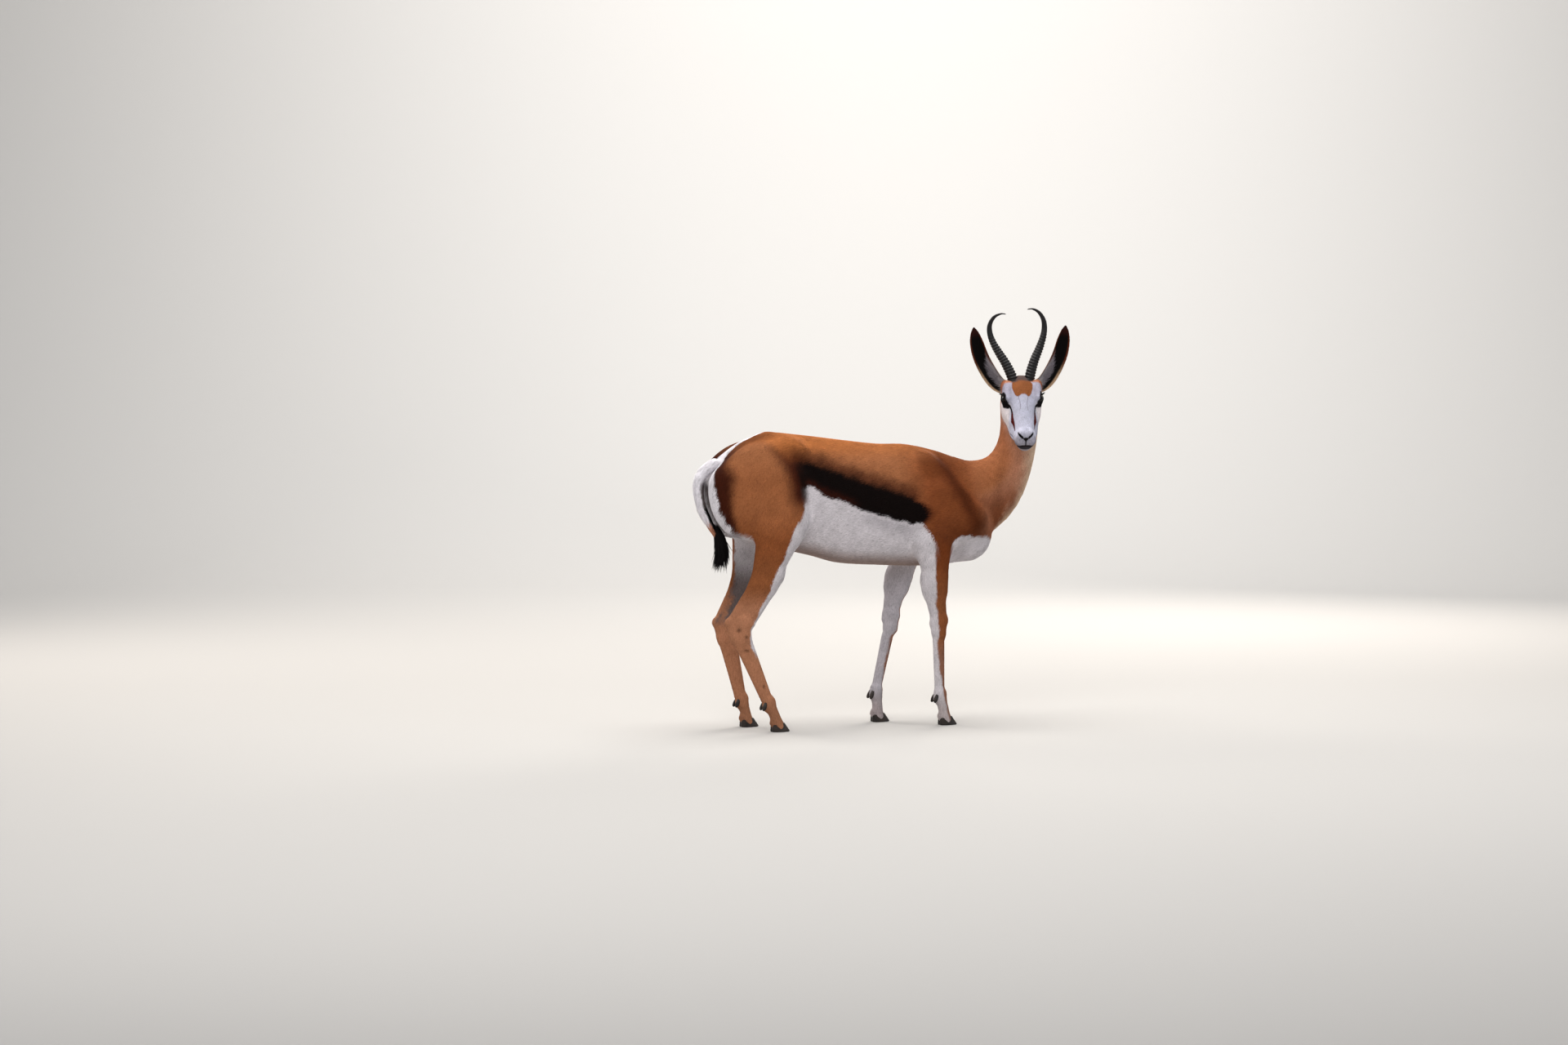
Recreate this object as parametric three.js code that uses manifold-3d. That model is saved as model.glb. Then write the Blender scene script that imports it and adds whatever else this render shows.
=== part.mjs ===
// A life-size adult springbok, standing with its head turned to look back over its right side.
// Millimetres, +X towards the chest, +Y to the animal's left, +Z up; the floor is z = 0.
// One smooth field describes the whole animal, out to the surface of its coat. It is turned into
// meshes and parted into nodes by thin cuts; horns, ears, eyes, claws and tail are lofted and
// fitted against it.
import * as THREE from "three";
import { mergeVertices } from "three/addons/utils/BufferGeometryUtils.js";
import Module from "manifold-3d";

const wasm = await Module();
wasm.setup();

// Driving sizes
const GAP = 0.3; // left between touching nodes
const FIT_GAP = 0.5; // how far a root is cut clear of the faceted surface that it grows from
const BODY_CELL = 6.5;
const HEAD_CELL = 3;
const BODY_TRIANGLES = 4700;
const HEAD_TRIANGLES = 3000;

// Joints of each leg, [x, z]; sign is -1 on the right, near side and 1 on the left
const LEGS = {
  right: {
    sign: -1,
    fore: { elbow: [176, 500], carpus: [211, 278], fetlock: [218, 84], toe: [238, 0],
      spread: [84, 76, 72, 72] },
    hind: { stifle: [-236, 566], hock: [-384, 288], fetlock: [-296, 80], toe: [-266, 0],
      spread: [88, 76, 72, 72] },
  },
  left: {
    sign: 1,
    fore: { elbow: [160, 496], carpus: [124, 284], fetlock: [78, 86], toe: [88, 0],
      spread: [84, 72, 68, 68] },
    hind: { stifle: [-250, 564], hock: [-369, 277], fetlock: [-325, 76], toe: [-306, 0],
      spread: [88, 76, 74, 74] },
  },
};

// The head: where its frame stands, and how it is turned, nodded and tilted
const HEAD_AT = [458, -92, 924]; // midway between the eyes
const HEAD_TURN = 107.2; // degrees to the right of straight ahead
const HEAD_NOD = 38; // degrees of the palate below level
const HEAD_TILT = 1.5; // degrees, left side up
const EYE_AT = [4, 43, 1]; // of the left eye, in the head's own frame
const EYE_AXIS = [0.5, 0.8, 0.33]; // the way it looks
const EYE_RADIUS = 16;
const HORN_LEAN = 2.5; // degrees to the right
const HORN_RISE = { left: 1.02, right: 0.96 };

// Small vector and curve helpers
const radians = THREE.MathUtils.degToRad;
const mix = (a, b, t) => a + (b - a) * t;
const clamp = (x, low, high) => Math.min(Math.max(x, low), high);
const along = (a, b, t) => a.map((v, i) => mix(v, b[i], t));

// A smooth curve through [place, value] pairs, level with its ends beyond them
function curve(points) {
  const n = points.length;
  const place = Float64Array.from(points, (p) => p[0]);
  const value = Float64Array.from(points, (p) => p[1]);
  const slope = Float64Array.from(points, (p, i) => {
    const [before, after] = [Math.max(i - 1, 0), Math.min(i + 1, n - 1)];
    return (value[after] - value[before]) / (place[after] - place[before]);
  });
  return (x) => {
    if (x <= place[0]) return value[0];
    if (x >= place[n - 1]) return value[n - 1];
    let i = 0;
    while (place[i + 1] < x) i++;
    const w = place[i + 1] - place[i];
    const t = (x - place[i]) / w;
    const t2 = t * t;
    const t3 = t2 * t;
    return value[i] * (2 * t3 - 3 * t2 + 1) + slope[i] * w * (t3 - 2 * t2 + t)
      + value[i + 1] * (3 * t2 - 2 * t3) + slope[i + 1] * w * (t3 - t2);
  };
}

const length2 = (x, y) => Math.sqrt(x * x + y * y);
const length3 = (x, y, z) => Math.sqrt(x * x + y * y + z * z);

// Signed distances, negative inside. Each form has at(x, y, z) and a box that bounds it.
const smoothUnion = (a, b, k) => {
  const h = Math.max(k - Math.abs(a - b), 0) / k;
  return Math.min(a, b) - (h * h * k) / 4;
};

// A tapered limb from a to b; flat squeezes it along Y
function limb(a, b, ra, rb, flat = 1) {
  const [dx, dy, dz] = [b[0] - a[0], b[1] - a[1], b[2] - a[2]];
  const square = dx * dx + dy * dy + dz * dz;
  const r = Math.max(ra, rb);
  return {
    box: [0, 1, 2].map((i) => [Math.min(a[i], b[i]) - r, Math.max(a[i], b[i]) + r]),
    at(x, y, z) {
      const px = x - a[0];
      const py = y - a[1];
      const pz = z - a[2];
      const t = clamp((px * dx + py * dy + pz * dz) / square, 0, 1);
      return length3(px - dx * t, (py - dy * t) / flat, pz - dz * t) - mix(ra, rb, t);
    },
  };
}

// An ellipsoid; lean tips its long axis in the side view, in degrees from +X towards +Z
function mound(c, r, lean = 0) {
  const cosine = Math.cos(radians(lean));
  const sine = Math.sin(radians(lean));
  const reach = Math.max(...r);
  return {
    box: c.map((v) => [v - reach, v + reach]),
    at(x, y, z) {
      const px = (x - c[0]) * cosine + (z - c[2]) * sine;
      const pz = (z - c[2]) * cosine - (x - c[0]) * sine;
      const py = y - c[1];
      const k = length3(px / r[0], py / r[1], pz / r[2]);
      const g = length3(px / (r[0] * r[0]), py / (r[1] * r[1]), pz / (r[2] * r[2]));
      return g < 1e-9 ? -Math.min(...r) : (k * (k - 1)) / g;
    },
  };
}

// A body lofted along X from its top line, under line, half width and the height of its widest place
function lofted({ ends, top, bottom, half, widest, powerTop, powerBottom, cap }) {
  const [low, high] = ends;
  return {
    box: [[low, high], [-200, 200], [-200, 1300]],
    at(x, y, z) {
      const inside = clamp(x, low, high);
      const over = Math.abs(x - inside);
      const near = Math.min(inside - low, high - inside);
      const shrink = near < cap ? Math.sqrt(Math.max(1 - (1 - near / cap) ** 2, 0.0025)) : 1;
      const middle = widest(inside);
      const up = z > middle;
      const tall = (up ? top(inside) - middle : middle - bottom(inside)) * shrink;
      const wide = half(inside) * shrink;
      const power = up ? powerTop(inside) : powerBottom(inside);
      const e = (Math.abs(y / wide) ** power + Math.abs((z - middle) / tall) ** power) ** (1 / power);
      return (e - 1) * Math.min(wide, tall) + over;
    },
  };
}

class Field {
  forms = [];
  boxes = [];
  join(form, blend, sign) {
    const reach = blend + 14;
    this.forms.push({ at: form.at, blend, sign });
    for (const [low, high] of form.box) this.boxes.push(low - reach, high + reach);
  }
  add(form, blend) {
    this.join(form, blend, 1);
  }
  carve(form, blend) {
    this.join(form, blend, -1);
  }
  // Both sides of a form that is made for the left
  both(make, blend) {
    this.add(make(1), blend);
    this.add(make(-1), blend);
  }
  carveBoth(make, blend) {
    this.carve(make(1), blend);
    this.carve(make(-1), blend);
  }
  at(x, y, z) {
    const { forms, boxes } = this;
    let value = 60;
    for (let n = 0, b = 0; n < forms.length; n++, b += 6) {
      if (z < boxes[b + 4] || z > boxes[b + 5] || x < boxes[b] || x > boxes[b + 1]) continue;
      if (y < boxes[b + 2] || y > boxes[b + 3]) continue;
      const form = forms[n];
      const d = form.at(x, y, z);
      value = form.sign > 0 ? smoothUnion(value, d, form.blend) : -smoothUnion(-value, d, form.blend);
    }
    return value;
  }
}

// The trunk
function addTrunk(field) {
  const flat = (v) => () => v;
  field.add(lofted({
    ends: [-446, 408],
    cap: 46,
    top: curve([[-446, 720], [-420, 747], [-390, 777], [-345, 811], [-285, 836], [-246, 835],
      [-200, 830], [-140, 823], [-40, 810], [50, 800], [130, 798], [190, 788], [250, 772], [320, 744],
      [408, 690]]),
    bottom: curve([[-446, 640], [-400, 574], [-320, 520], [-230, 500], [-150, 482], [-70, 461], [50, 452],
      [180, 446], [270, 449], [336, 464], [363, 484], [385, 498], [408, 508]]),
    half: curve([[-446, 38], [-400, 55], [-300, 78], [-210, 84], [-130, 95], [-40, 107], [50, 112],
      [130, 106],
      [200, 92], [280, 78], [350, 66], [408, 54]]),
    widest: curve([[-446, 696], [-330, 690], [-200, 655], [-60, 615], [60, 600], [180, 606], [300, 600],
      [408, 600]]),
    powerTop: curve([[-400, 2.1], [-250, 2.3], [-60, 2.1], [120, 1.75], [220, 1.65], [330, 1.9]]),
    powerBottom: flat(2.15),
  }), 1);
  // hip bones, pin bones and the hollow in front of the thigh
  field.both((s) => mound([-226, 58 * s, 786], [34, 22, 24], -20), 40);
  field.both((s) => mound([-412, 39 * s, 688], [40, 28, 46], 0), 34);
  field.carveBoth((s) => mound([-196, 118 * s, 700], [44, 26, 60], -20), 44);
  // shoulder blade, point of the shoulder, upper arm and the long muscle behind it
  field.both((s) => limb([184, 42 * s, 740], [308, 66 * s, 588], 28, 40, 0.85), 30);
  field.both((s) => limb([314, 62 * s, 576], [190, 78 * s, 520], 42, 40, 0.8), 34);
  field.both((s) => mound([222, 74 * s, 606], [78, 30, 74], -38), 36);
  // breast muscles between the fore legs
  field.both((s) => mound([327, 27 * s, 528], [58, 36, 59], 36), 30);
}

// The neck: its middle line rises from the chest and turns towards the skull
const NECK_LINE = new THREE.CubicBezierCurve3(
  new THREE.Vector3(310, 0, 628),
  new THREE.Vector3(436, 0, 636),
  new THREE.Vector3(513, -2, 762),
  new THREE.Vector3(473, -26, 925),
);
const NECK_DEPTH = curve([[0, 112], [0.25, 85], [0.5, 57], [0.7, 47], [0.88, 46], [1, 46]]);
const NECK_FLAT = curve([[0, 0.54], [0.25, 0.68], [0.5, 0.9], [0.8, 1.02], [1, 1]]);

function addNeck(field) {
  const steps = 12;
  for (let i = 0; i < steps; i++) {
    const [t0, t1] = [i / steps, (i + 1) / steps];
    const a = NECK_LINE.getPoint(t0).toArray();
    const b = NECK_LINE.getPoint(t1).toArray();
    field.add(limb(a, b, NECK_DEPTH(t0), NECK_DEPTH(t1), NECK_FLAT((t0 + t1) / 2)), 26);
  }
}

// A fore leg, from the elbow to the pastern
function addForeLeg(field, sign, leg) {
  const at = ([x, z], y) => [x, y * sign, z];
  const [yElbow, yCarpus, yFetlock, yToe] = leg.spread;
  const elbow = at(leg.elbow, yElbow);
  const carpus = at(leg.carpus, yCarpus);
  const fetlock = at(leg.fetlock, yFetlock);
  const toe = at(leg.toe, yToe);
  const shift = (p, x, z) => [p[0] + x, p[1], p[2] + z];
  const arm = (t) => along(elbow, carpus, t);
  field.add(limb(shift(elbow, 22, 6), shift(arm(0.5), 4, 0), 46, 36, 0.72), 30);
  field.add(limb(shift(arm(0.4), 2, 0), shift(carpus, 0, 26), 36, 24, 0.78), 20);
  field.add(limb(shift(elbow, -22, 22), shift(elbow, 6, -30), 19, 24, 0.8), 26);
  // the knee: a broad block, with its small bone at the back
  field.add(limb(shift(carpus, 2, 16), shift(carpus, 1, -16), 24, 20, 0.9), 14);
  field.add(limb(shift(carpus, -16, 8), shift(carpus, -12, -8), 9, 7, 0.9), 14);
  const shin = (t) => along(carpus, fetlock, t);
  field.add(limb(shin(0.1), shin(0.92), 16.5, 13, 0.86), 12);
  field.add(limb(shift(shin(0.2), -7, 0), shift(shin(0.92), -6, 0), 9.5, 9, 0.8), 10);
  addFoot(field, fetlock, toe);
}

// The fetlock and the pastern above the claws
function addFoot(field, fetlock, toe) {
  const lower = [toe[0] - 4, toe[1], 22];
  field.add(limb([fetlock[0], fetlock[1], fetlock[2] + 4], [fetlock[0] - 2, fetlock[1], fetlock[2] - 8],
    17, 17.5, 0.98), 12);
  field.add(limb(fetlock, lower, 15.5, 15, 1.02), 10);
  field.add(limb([lower[0] - 8, lower[1], 24], [lower[0] + 2, lower[1], 12], 16, 17, 1.05), 8);
}

// A hind leg, from the hip to the pastern
function addHindLeg(field, sign, leg) {
  const at = ([x, z], y) => [x, y * sign, z];
  const [yStifle, yHock, yFetlock, yToe] = leg.spread;
  const stifle = at(leg.stifle, yStifle);
  const hock = at(leg.hock, yHock);
  const fetlock = at(leg.fetlock, yFetlock);
  const toe = at(leg.toe, yToe);
  const back = leg.stifle[0] + 236; // how far this thigh is drawn back from the near one
  const shift = (p, x, z) => [p[0] + x, p[1], p[2] + z];
  // buttock and thigh
  field.add(mound([-316 + back * 0.6, 58 * sign, 666], [126, 47, 134], 14), 40);
  field.add(mound([-380 + back * 0.6, 54 * sign, 640], [76, 37, 92], 20), 34);
  field.add(limb([-262 + back * 0.5, 72 * sign, 690], shift(stifle, -8, 14), 58, 50, 0.62), 34);
  field.add(mound(shift(stifle, -2, 22), [48, 30, 56], 0), 26);
  // second thigh, hamstring and the hock with its point
  const shank = (t) => along(stifle, hock, t);
  field.add(limb(shift(shank(0.1), -26, 0), shift(shank(0.54), -1, 0), 62, 37, 0.64), 26);
  field.add(limb(shift(shank(0.45), 8, 0), shift(shank(0.92), 12, 6), 40, 25, 0.7), 18);
  field.add(limb(shift(shank(0.42), -18, -4), shift(hock, -30, 22), 20, 10.5, 0.7), 18);
  field.add(limb(shift(hock, -31, 20), shift(hock, -14, -28), 12, 13, 0.85), 12);
  field.add(limb(shift(hock, 9, 12), shift(hock, 6, -26), 27, 24, 0.76), 14);
  const shin = (t) => along(hock, fetlock, t);
  field.add(limb(shift(shin(0.1), 3, 0), shin(0.92), 19.5, 14.5, 0.84), 12);
  field.add(limb(shift(shin(0.1), -20, 0), shift(shin(0.92), -9, 0), 13.5, 11, 0.76), 12);
  addFoot(field, fetlock, toe);
}

// The head's own frame: u towards the nose along the palate, v to the crown, w to the head's left.
// Its forms are written with X as u, Y as w and Z as v.
const headFrame = new THREE.Matrix4()
  .makeTranslation(...HEAD_AT)
  .multiply(new THREE.Matrix4().makeRotationZ(-radians(HEAD_TURN)))
  .multiply(new THREE.Matrix4().makeRotationY(radians(HEAD_NOD)))
  .multiply(new THREE.Matrix4().makeRotationX(radians(HEAD_TILT)));
const headInverse = headFrame.clone().invert();
const fromHead = (p) => new THREE.Vector3(...p).applyMatrix4(headFrame).toArray();

function inHead(form) {
  const e = headInverse.elements;
  const corners = [];
  for (const x of form.box[0]) for (const y of form.box[1]) for (const z of form.box[2]) {
    corners.push(fromHead([x, y, z]));
  }
  return {
    box: [0, 1, 2].map((i) => [Math.min(...corners.map((c) => c[i])),
      Math.max(...corners.map((c) => c[i]))]),
    at: (x, y, z) => form.at(
      e[0] * x + e[4] * y + e[8] * z + e[12],
      e[1] * x + e[5] * y + e[9] * z + e[13],
      e[2] * x + e[6] * y + e[10] * z + e[14],
    ),
  };
}

function addHead(field) {
  const flat = (v) => () => v;
  const skull = lofted({
    ends: [-76, 147],
    cap: 16,
    top: curve([[-76, 20], [-60, 34], [-42, 43], [-15, 42], [8, 37], [34, 25], [66, 10], [98, -4],
      [124, -13], [147, -26]]),
    bottom: curve([[-76, -50], [-50, -70], [-20, -84], [20, -86], [60, -81], [96, -80], [120, -86],
      [136, -84], [147, -70]]),
    half: curve([[-76, 36], [-54, 46], [-20, 51], [10, 49], [34, 45], [60, 40], [90, 33], [118, 28],
      [136, 27], [147, 24]]),
    widest: curve([[-84, -10], [-20, -16], [20, -30], [60, -48], [110, -50], [147, -46]]),
    powerTop: curve([[-84, 2], [0, 2.2], [60, 1.85], [100, 2], [147, 2.2]]),
    powerBottom: flat(2.1),
  });
  skull.box = [[-76, 147], [-60, 60], [-110, 60]];
  field.add(inHead(skull), 22);
  const both = (make, blend) => field.both((s) => inHead(make(s)), blend);
  const carveBoth = (make, blend) => field.carveBoth((s) => inHead(make(s)), blend);
  // cheek muscle, cheek bone, eye sockets, brows and temples
  both((s) => mound([-2, 33 * s, -46], [54, 21, 36], 12), 18);
  both((s) => mound([56, 25 * s, -64], [50, 15, 22], 4), 14);
  both((s) => limb([14, 41 * s, -18], [66, 28 * s, -34], 9, 8), 14);
  both((s) => mound([5, 40 * s, 2], [26, 18, 20], -14), 12);
  both((s) => limb([-24, 37 * s, 26], [19, 43 * s, 17], 11, 6), 14);
  both((s) => mound([-32, 47 * s, 14], [20, 12.5, 20], 0), 14);
  carveBoth((s) => mound([45, 46 * s, -10], [21, 9, 12], -24), 16);
  // muzzle: lips, nostril wings and chin
  both((s) => mound([126, 16.5 * s, -46], [25, 15.5, 17.5], -8), 10);
  both((s) => mound([131, 12 * s, -25], [16, 11, 12], -30), 8);
  field.add(inHead(limb([112, 0, -71], [130, 0, -69], 15, 13)), 10);
  // the lids stand out round each eye, and are opened over it
  const eye = (s, out) => EYE_AT.map((v, i) => (v + out * EYE_AXIS[i]) * (i === 1 ? s : 1));
  both((s) => mound(eye(s, 0), [EYE_RADIUS + 3.6, EYE_RADIUS + 2.8, EYE_RADIUS + 2.4], 10), 5);
  carveBoth((s) => mound(eye(s, 16), [17, 13, 11.5], 14), 1.5);
  // nostrils, the groove between them and the line of the mouth
  carveBoth((s) => limb([136, 21 * s, -16], [146, 15 * s, -26], 1.6, 3.2), 2);
  carveBoth((s) => limb([146, 15 * s, -26], [152, 6 * s, -35], 3.2, 2), 2);
  field.carve(inHead(limb([153, 0, -38], [151, 0, -54], 1.8, 1.8)), 2);
  const mouth = [[147, 0, -57.5], [143, 15, -58], [131, 26, -59], [112, 31, -60], [90, 33, -58]];
  for (let i = 0; i + 1 < mouth.length; i++) {
    const flip = ([x, y, z], s) => [x, y * s, z];
    carveBoth((s) => limb(flip(mouth[i], s), flip(mouth[i + 1], s), 2.6, 2.4), 1.6);
  }
}

const animal = new Field();
addTrunk(animal);
addNeck(animal);
for (const { sign, fore, hind } of Object.values(LEGS)) {
  addForeLeg(animal, sign, fore);
  addHindLeg(animal, sign, hind);
}
addHead(animal);

// Turns a field into a closed surface: one vertex in each grid cell that the surface crosses
function surfaceOf(at, [x0, x1], [y0, y1], [z0, z1], cell) {
  const nx = Math.ceil((x1 - x0) / cell) + 1;
  const ny = Math.ceil((y1 - y0) / cell) + 1;
  const nz = Math.ceil((z1 - z0) / cell) + 1;
  const value = new Float32Array(nx * ny * nz).fill(60);
  const index = (i, j, k) => (k * ny + j) * nx + i;
  // Blocks that lie wholly inside or outside aren't looked at point by point
  const block = 4;
  const half = (block - 1) / 2;
  for (let k = 1; k < nz - 1; k += block)
  for (let j = 1; j < ny - 1; j += block)
  for (let i = 1; i < nx - 1; i += block) {
    const centre = at(x0 + (i + half) * cell, y0 + (j + half) * cell, z0 + (k + half) * cell);
    const far = Math.abs(centre) > Math.min(half * cell * 3, 55);
    for (let c = k; c < Math.min(k + block, nz - 1); c++)
    for (let b = j; b < Math.min(j + block, ny - 1); b++) {
      for (let a = i; a < Math.min(i + block, nx - 1); a++) {
        value[index(a, b, c)] = far ? centre : at(x0 + a * cell, y0 + b * cell, z0 + c * cell);
      }
    }
  }
  const positions = [];
  const vertexOf = new Int32Array(nx * ny * nz).fill(-1);
  const corners = [0, 1, 2, 3, 4, 5, 6, 7].map((c) => [c & 1, (c >> 1) & 1, c >> 2]);
  const edges = [];
  for (let a = 0; a < 8; a++) {
    for (let bit = 1; bit < 8; bit <<= 1) if (!(a & bit)) edges.push([a, a | bit]);
  }
  // A cell through which the surface would pass twice is filled at its least certain corner
  const pieces = (set) => {
    let count = 0;
    for (let rest = set; rest; count++) {
      let seen = rest & -rest;
      for (let before = 0; before !== seen;) {
        before = seen;
        for (const [a, b] of edges) {
          const pair = (1 << a) | (1 << b);
          if (seen & pair && (set & pair) === pair) seen |= pair;
        }
      }
      rest &= ~seen;
    }
    return count;
  };
  const twice = Array.from({ length: 256 }, (_, set) => pieces(set) > 1 || pieces(255 - set) > 1);
  for (let changed = true; changed;) {
    changed = false;
    for (let k = 0; k < nz - 1; k++) for (let j = 0; j < ny - 1; j++) for (let i = 0; i < nx - 1; i++) {
      const places = corners.map(([a, b, c]) => index(i + a, j + b, k + c));
      const set = places.reduce((sum, n, bit) => sum + (value[n] < 0 ? 1 << bit : 0), 0);
      if (!twice[set]) continue;
      const outside = places.filter((n) => value[n] >= 0).sort((a, b) => value[a] - value[b]);
      value[outside[0]] = -0.01 * cell;
      changed = true;
    }
  }
  for (let k = 0; k < nz - 1; k++) for (let j = 0; j < ny - 1; j++) for (let i = 0; i < nx - 1; i++) {
    const v = corners.map(([a, b, c]) => value[index(i + a, j + b, k + c)]);
    const sum = [0, 0, 0];
    let count = 0;
    for (const [a, b] of edges) {
      if (v[a] < 0 === v[b] < 0) continue;
      const t = v[a] / (v[a] - v[b]);
      for (let n = 0; n < 3; n++) sum[n] += mix(corners[a][n], corners[b][n], t);
      count++;
    }
    if (!count) continue;
    vertexOf[index(i, j, k)] = positions.length / 3;
    positions.push(x0 + (i + sum[0] / count) * cell, y0 + (j + sum[1] / count) * cell,
      z0 + (k + sum[2] / count) * cell);
  }
  const faces = [];
  const quad = (a, b, c, d, turn) => faces.push(...(turn ? [a, b, c, a, c, d] : [a, c, b, a, d, c]));
  for (let k = 0; k < nz - 1; k++) for (let j = 0; j < ny - 1; j++) for (let i = 0; i < nx - 1; i++) {
    const here = value[index(i, j, k)] < 0;
    const cellAt = (a, b, c) => vertexOf[index(i + a, j + b, k + c)];
    if (j && k && here !== value[index(i + 1, j, k)] < 0) {
      quad(cellAt(0, -1, -1), cellAt(0, 0, -1), cellAt(0, 0, 0), cellAt(0, -1, 0), here);
    }
    if (i && k && here !== value[index(i, j + 1, k)] < 0) {
      quad(cellAt(-1, 0, -1), cellAt(-1, 0, 0), cellAt(0, 0, 0), cellAt(0, 0, -1), here);
    }
    if (i && j && here !== value[index(i, j, k + 1)] < 0) {
      quad(cellAt(-1, -1, 0), cellAt(0, -1, 0), cellAt(0, 0, 0), cellAt(-1, 0, 0), here);
    }
  }
  settle(positions, at, cell);
  return { positions, faces };
}

// Moves each vertex onto the field's surface, by the field's own slope
function settle(positions, at, cell) {
  const h = 0.2;
  for (let n = 0; n < positions.length; n += 3) {
    for (let round = 0; round < 2; round++) {
      const [x, y, z] = [positions[n], positions[n + 1], positions[n + 2]];
      const d = at(x, y, z);
      const g = [(at(x + h, y, z) - d) / h, (at(x, y + h, z) - d) / h, (at(x, y, z + h) - d) / h];
      const square = g[0] ** 2 + g[1] ** 2 + g[2] ** 2;
      if (square < 0.04) break;
      const step = clamp(d / square, -0.4 * cell, 0.4 * cell);
      for (let i = 0; i < 3; i++) positions[n + i] -= step * g[i];
    }
  }
}

// Thins a closed surface to a number of triangles by collapsing the edges that change it least
function thinned({ positions, faces }, target) {
  const count = positions.length / 3;
  const p = Float64Array.from(positions);
  const q = new Float64Array(count * 10);
  const tris = [];
  const around = Array.from({ length: count }, () => new Set());
  const at = (v) => [p[3 * v], p[3 * v + 1], p[3 * v + 2]];
  const sub = (a, b) => [a[0] - b[0], a[1] - b[1], a[2] - b[2]];
  const cross = (a, b) => [a[1] * b[2] - a[2] * b[1], a[2] * b[0] - a[0] * b[2],
    a[0] * b[1] - a[1] * b[0]];
  const dot = (a, b) => a[0] * b[0] + a[1] * b[1] + a[2] * b[2];
  for (let f = 0; f < faces.length; f += 3) {
    const t = [faces[f], faces[f + 1], faces[f + 2]];
    const n = cross(sub(at(t[1]), at(t[0])), sub(at(t[2]), at(t[0])));
    const size = Math.hypot(...n) || 1e-12;
    const [a, b, c] = n.map((v) => v / size);
    const d = -dot([a, b, c], at(t[0]));
    const plane = [a * a, a * b, a * c, a * d, b * b, b * c, b * d, c * c, c * d, d * d];
    for (const v of t) {
      for (let i = 0; i < 10; i++) q[10 * v + i] += plane[i] * size;
      around[v].add(tris.length);
    }
    tris.push(t);
  }
  const errorAt = (m, [x, y, z]) => m[0] * x * x + 2 * m[1] * x * y + 2 * m[2] * x * z + 2 * m[3] * x
    + m[4] * y * y
    + 2 * m[5] * y * z + 2 * m[6] * y + m[7] * z * z + 2 * m[8] * z + m[9];
  const best = (a, b) => {
    const m = Array.from({ length: 10 }, (_, i) => q[10 * a + i] + q[10 * b + i]);
    const [A, B, C, D, E, F, G, H, I] = m;
    const det = A * (E * H - F * F) - B * (B * H - F * C) + C * (B * F - E * C);
    const tries = [at(a), at(b), along(at(a), at(b), 0.5)];
    const scale = Math.abs(A + E + H) ** 3;
    if (Math.abs(det) > 1e-4 * scale) {
      tries.push([
        -(D * (E * H - F * F) - B * (G * H - F * I) + C * (G * F - E * I)) / det,
        -(A * (G * H - I * F) - D * (B * H - F * C) + C * (B * I - G * C)) / det,
        -(A * (E * I - F * G) - B * (B * I - G * C) + D * (B * F - E * C)) / det,
      ]);
    }
    const scored = tries.map((t) => [errorAt(m, t), t]);
    scored.sort((s, t) => s[0] - t[0]);
    const edge = sub(at(a), at(b));
    return [scored[0][0] + 0.02 * dot(edge, edge), scored[0][1]];
  };
  // A heap of edges; stale entries are skipped by their stamps
  const stamp = new Int32Array(count);
  const heap = [];
  const push = (item) => {
    let i = heap.push(item) - 1;
    while (i && heap[(i - 1) >> 1][0] > heap[i][0]) {
      [heap[i], heap[(i - 1) >> 1]] = [heap[(i - 1) >> 1], heap[i]];
      i = (i - 1) >> 1;
    }
  };
  const pop = () => {
    const top = heap[0];
    const last = heap.pop();
    if (heap.length) {
      heap[0] = last;
      for (let i = 0; ;) {
        let c = 2 * i + 1;
        if (c >= heap.length) break;
        if (c + 1 < heap.length && heap[c + 1][0] < heap[c][0]) c++;
        if (heap[i][0] <= heap[c][0]) break;
        [heap[i], heap[c]] = [heap[c], heap[i]];
        i = c;
      }
    }
    return top;
  };
  const offer = (a, b) => {
    const [cost, place] = best(a, b);
    push([cost, a, b, stamp[a], stamp[b], place]);
  };
  const neighbours = (v) => {
    const found = new Set();
    for (const f of around[v]) for (const w of tris[f]) if (w !== v) found.add(w);
    return found;
  };
  for (let v = 0; v < count; v++) for (const w of neighbours(v)) if (v < w) offer(v, w);
  let left = tris.length;
  while (left > target && heap.length) {
    const [, a, b, sa, sb, place] = pop();
    if (stamp[a] !== sa || stamp[b] !== sb) continue;
    const [na, nb] = [neighbours(a), neighbours(b)];
    if ([...na].filter((v) => nb.has(v)).length !== 2 || (na.size === 3 && nb.size === 3)) continue;
    const turns = (v, other) => [...around[v]].some((f) => {
      if (tris[f].includes(other)) return false;
      const [i, j, k] = tris[f].map((w) => (w === v ? place : at(w)));
      const [oi, oj, ok] = tris[f].map(at);
      const after = cross(sub(j, i), sub(k, i));
      const before = cross(sub(oj, oi), sub(ok, oi));
      return dot(after, before) < 0.2 * Math.hypot(...after) * Math.hypot(...before);
    });
    if (turns(a, b) || turns(b, a)) continue;
    p.set(place, 3 * a);
    for (let i = 0; i < 10; i++) q[10 * a + i] += q[10 * b + i];
    for (const f of [...around[b]]) {
      if (tris[f].includes(a)) {
        for (const v of tris[f]) around[v].delete(f);
        tris[f] = null;
        left--;
      } else {
        tris[f] = tris[f].map((v) => (v === b ? a : v));
        around[a].add(f);
      }
    }
    around[b].clear();
    stamp[a]++;
    stamp[b] = -1;
    for (const w of neighbours(a)) offer(a, w);
  }
  return { positions: Array.from(p), faces: tris.filter(Boolean).flat() };
}

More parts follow.
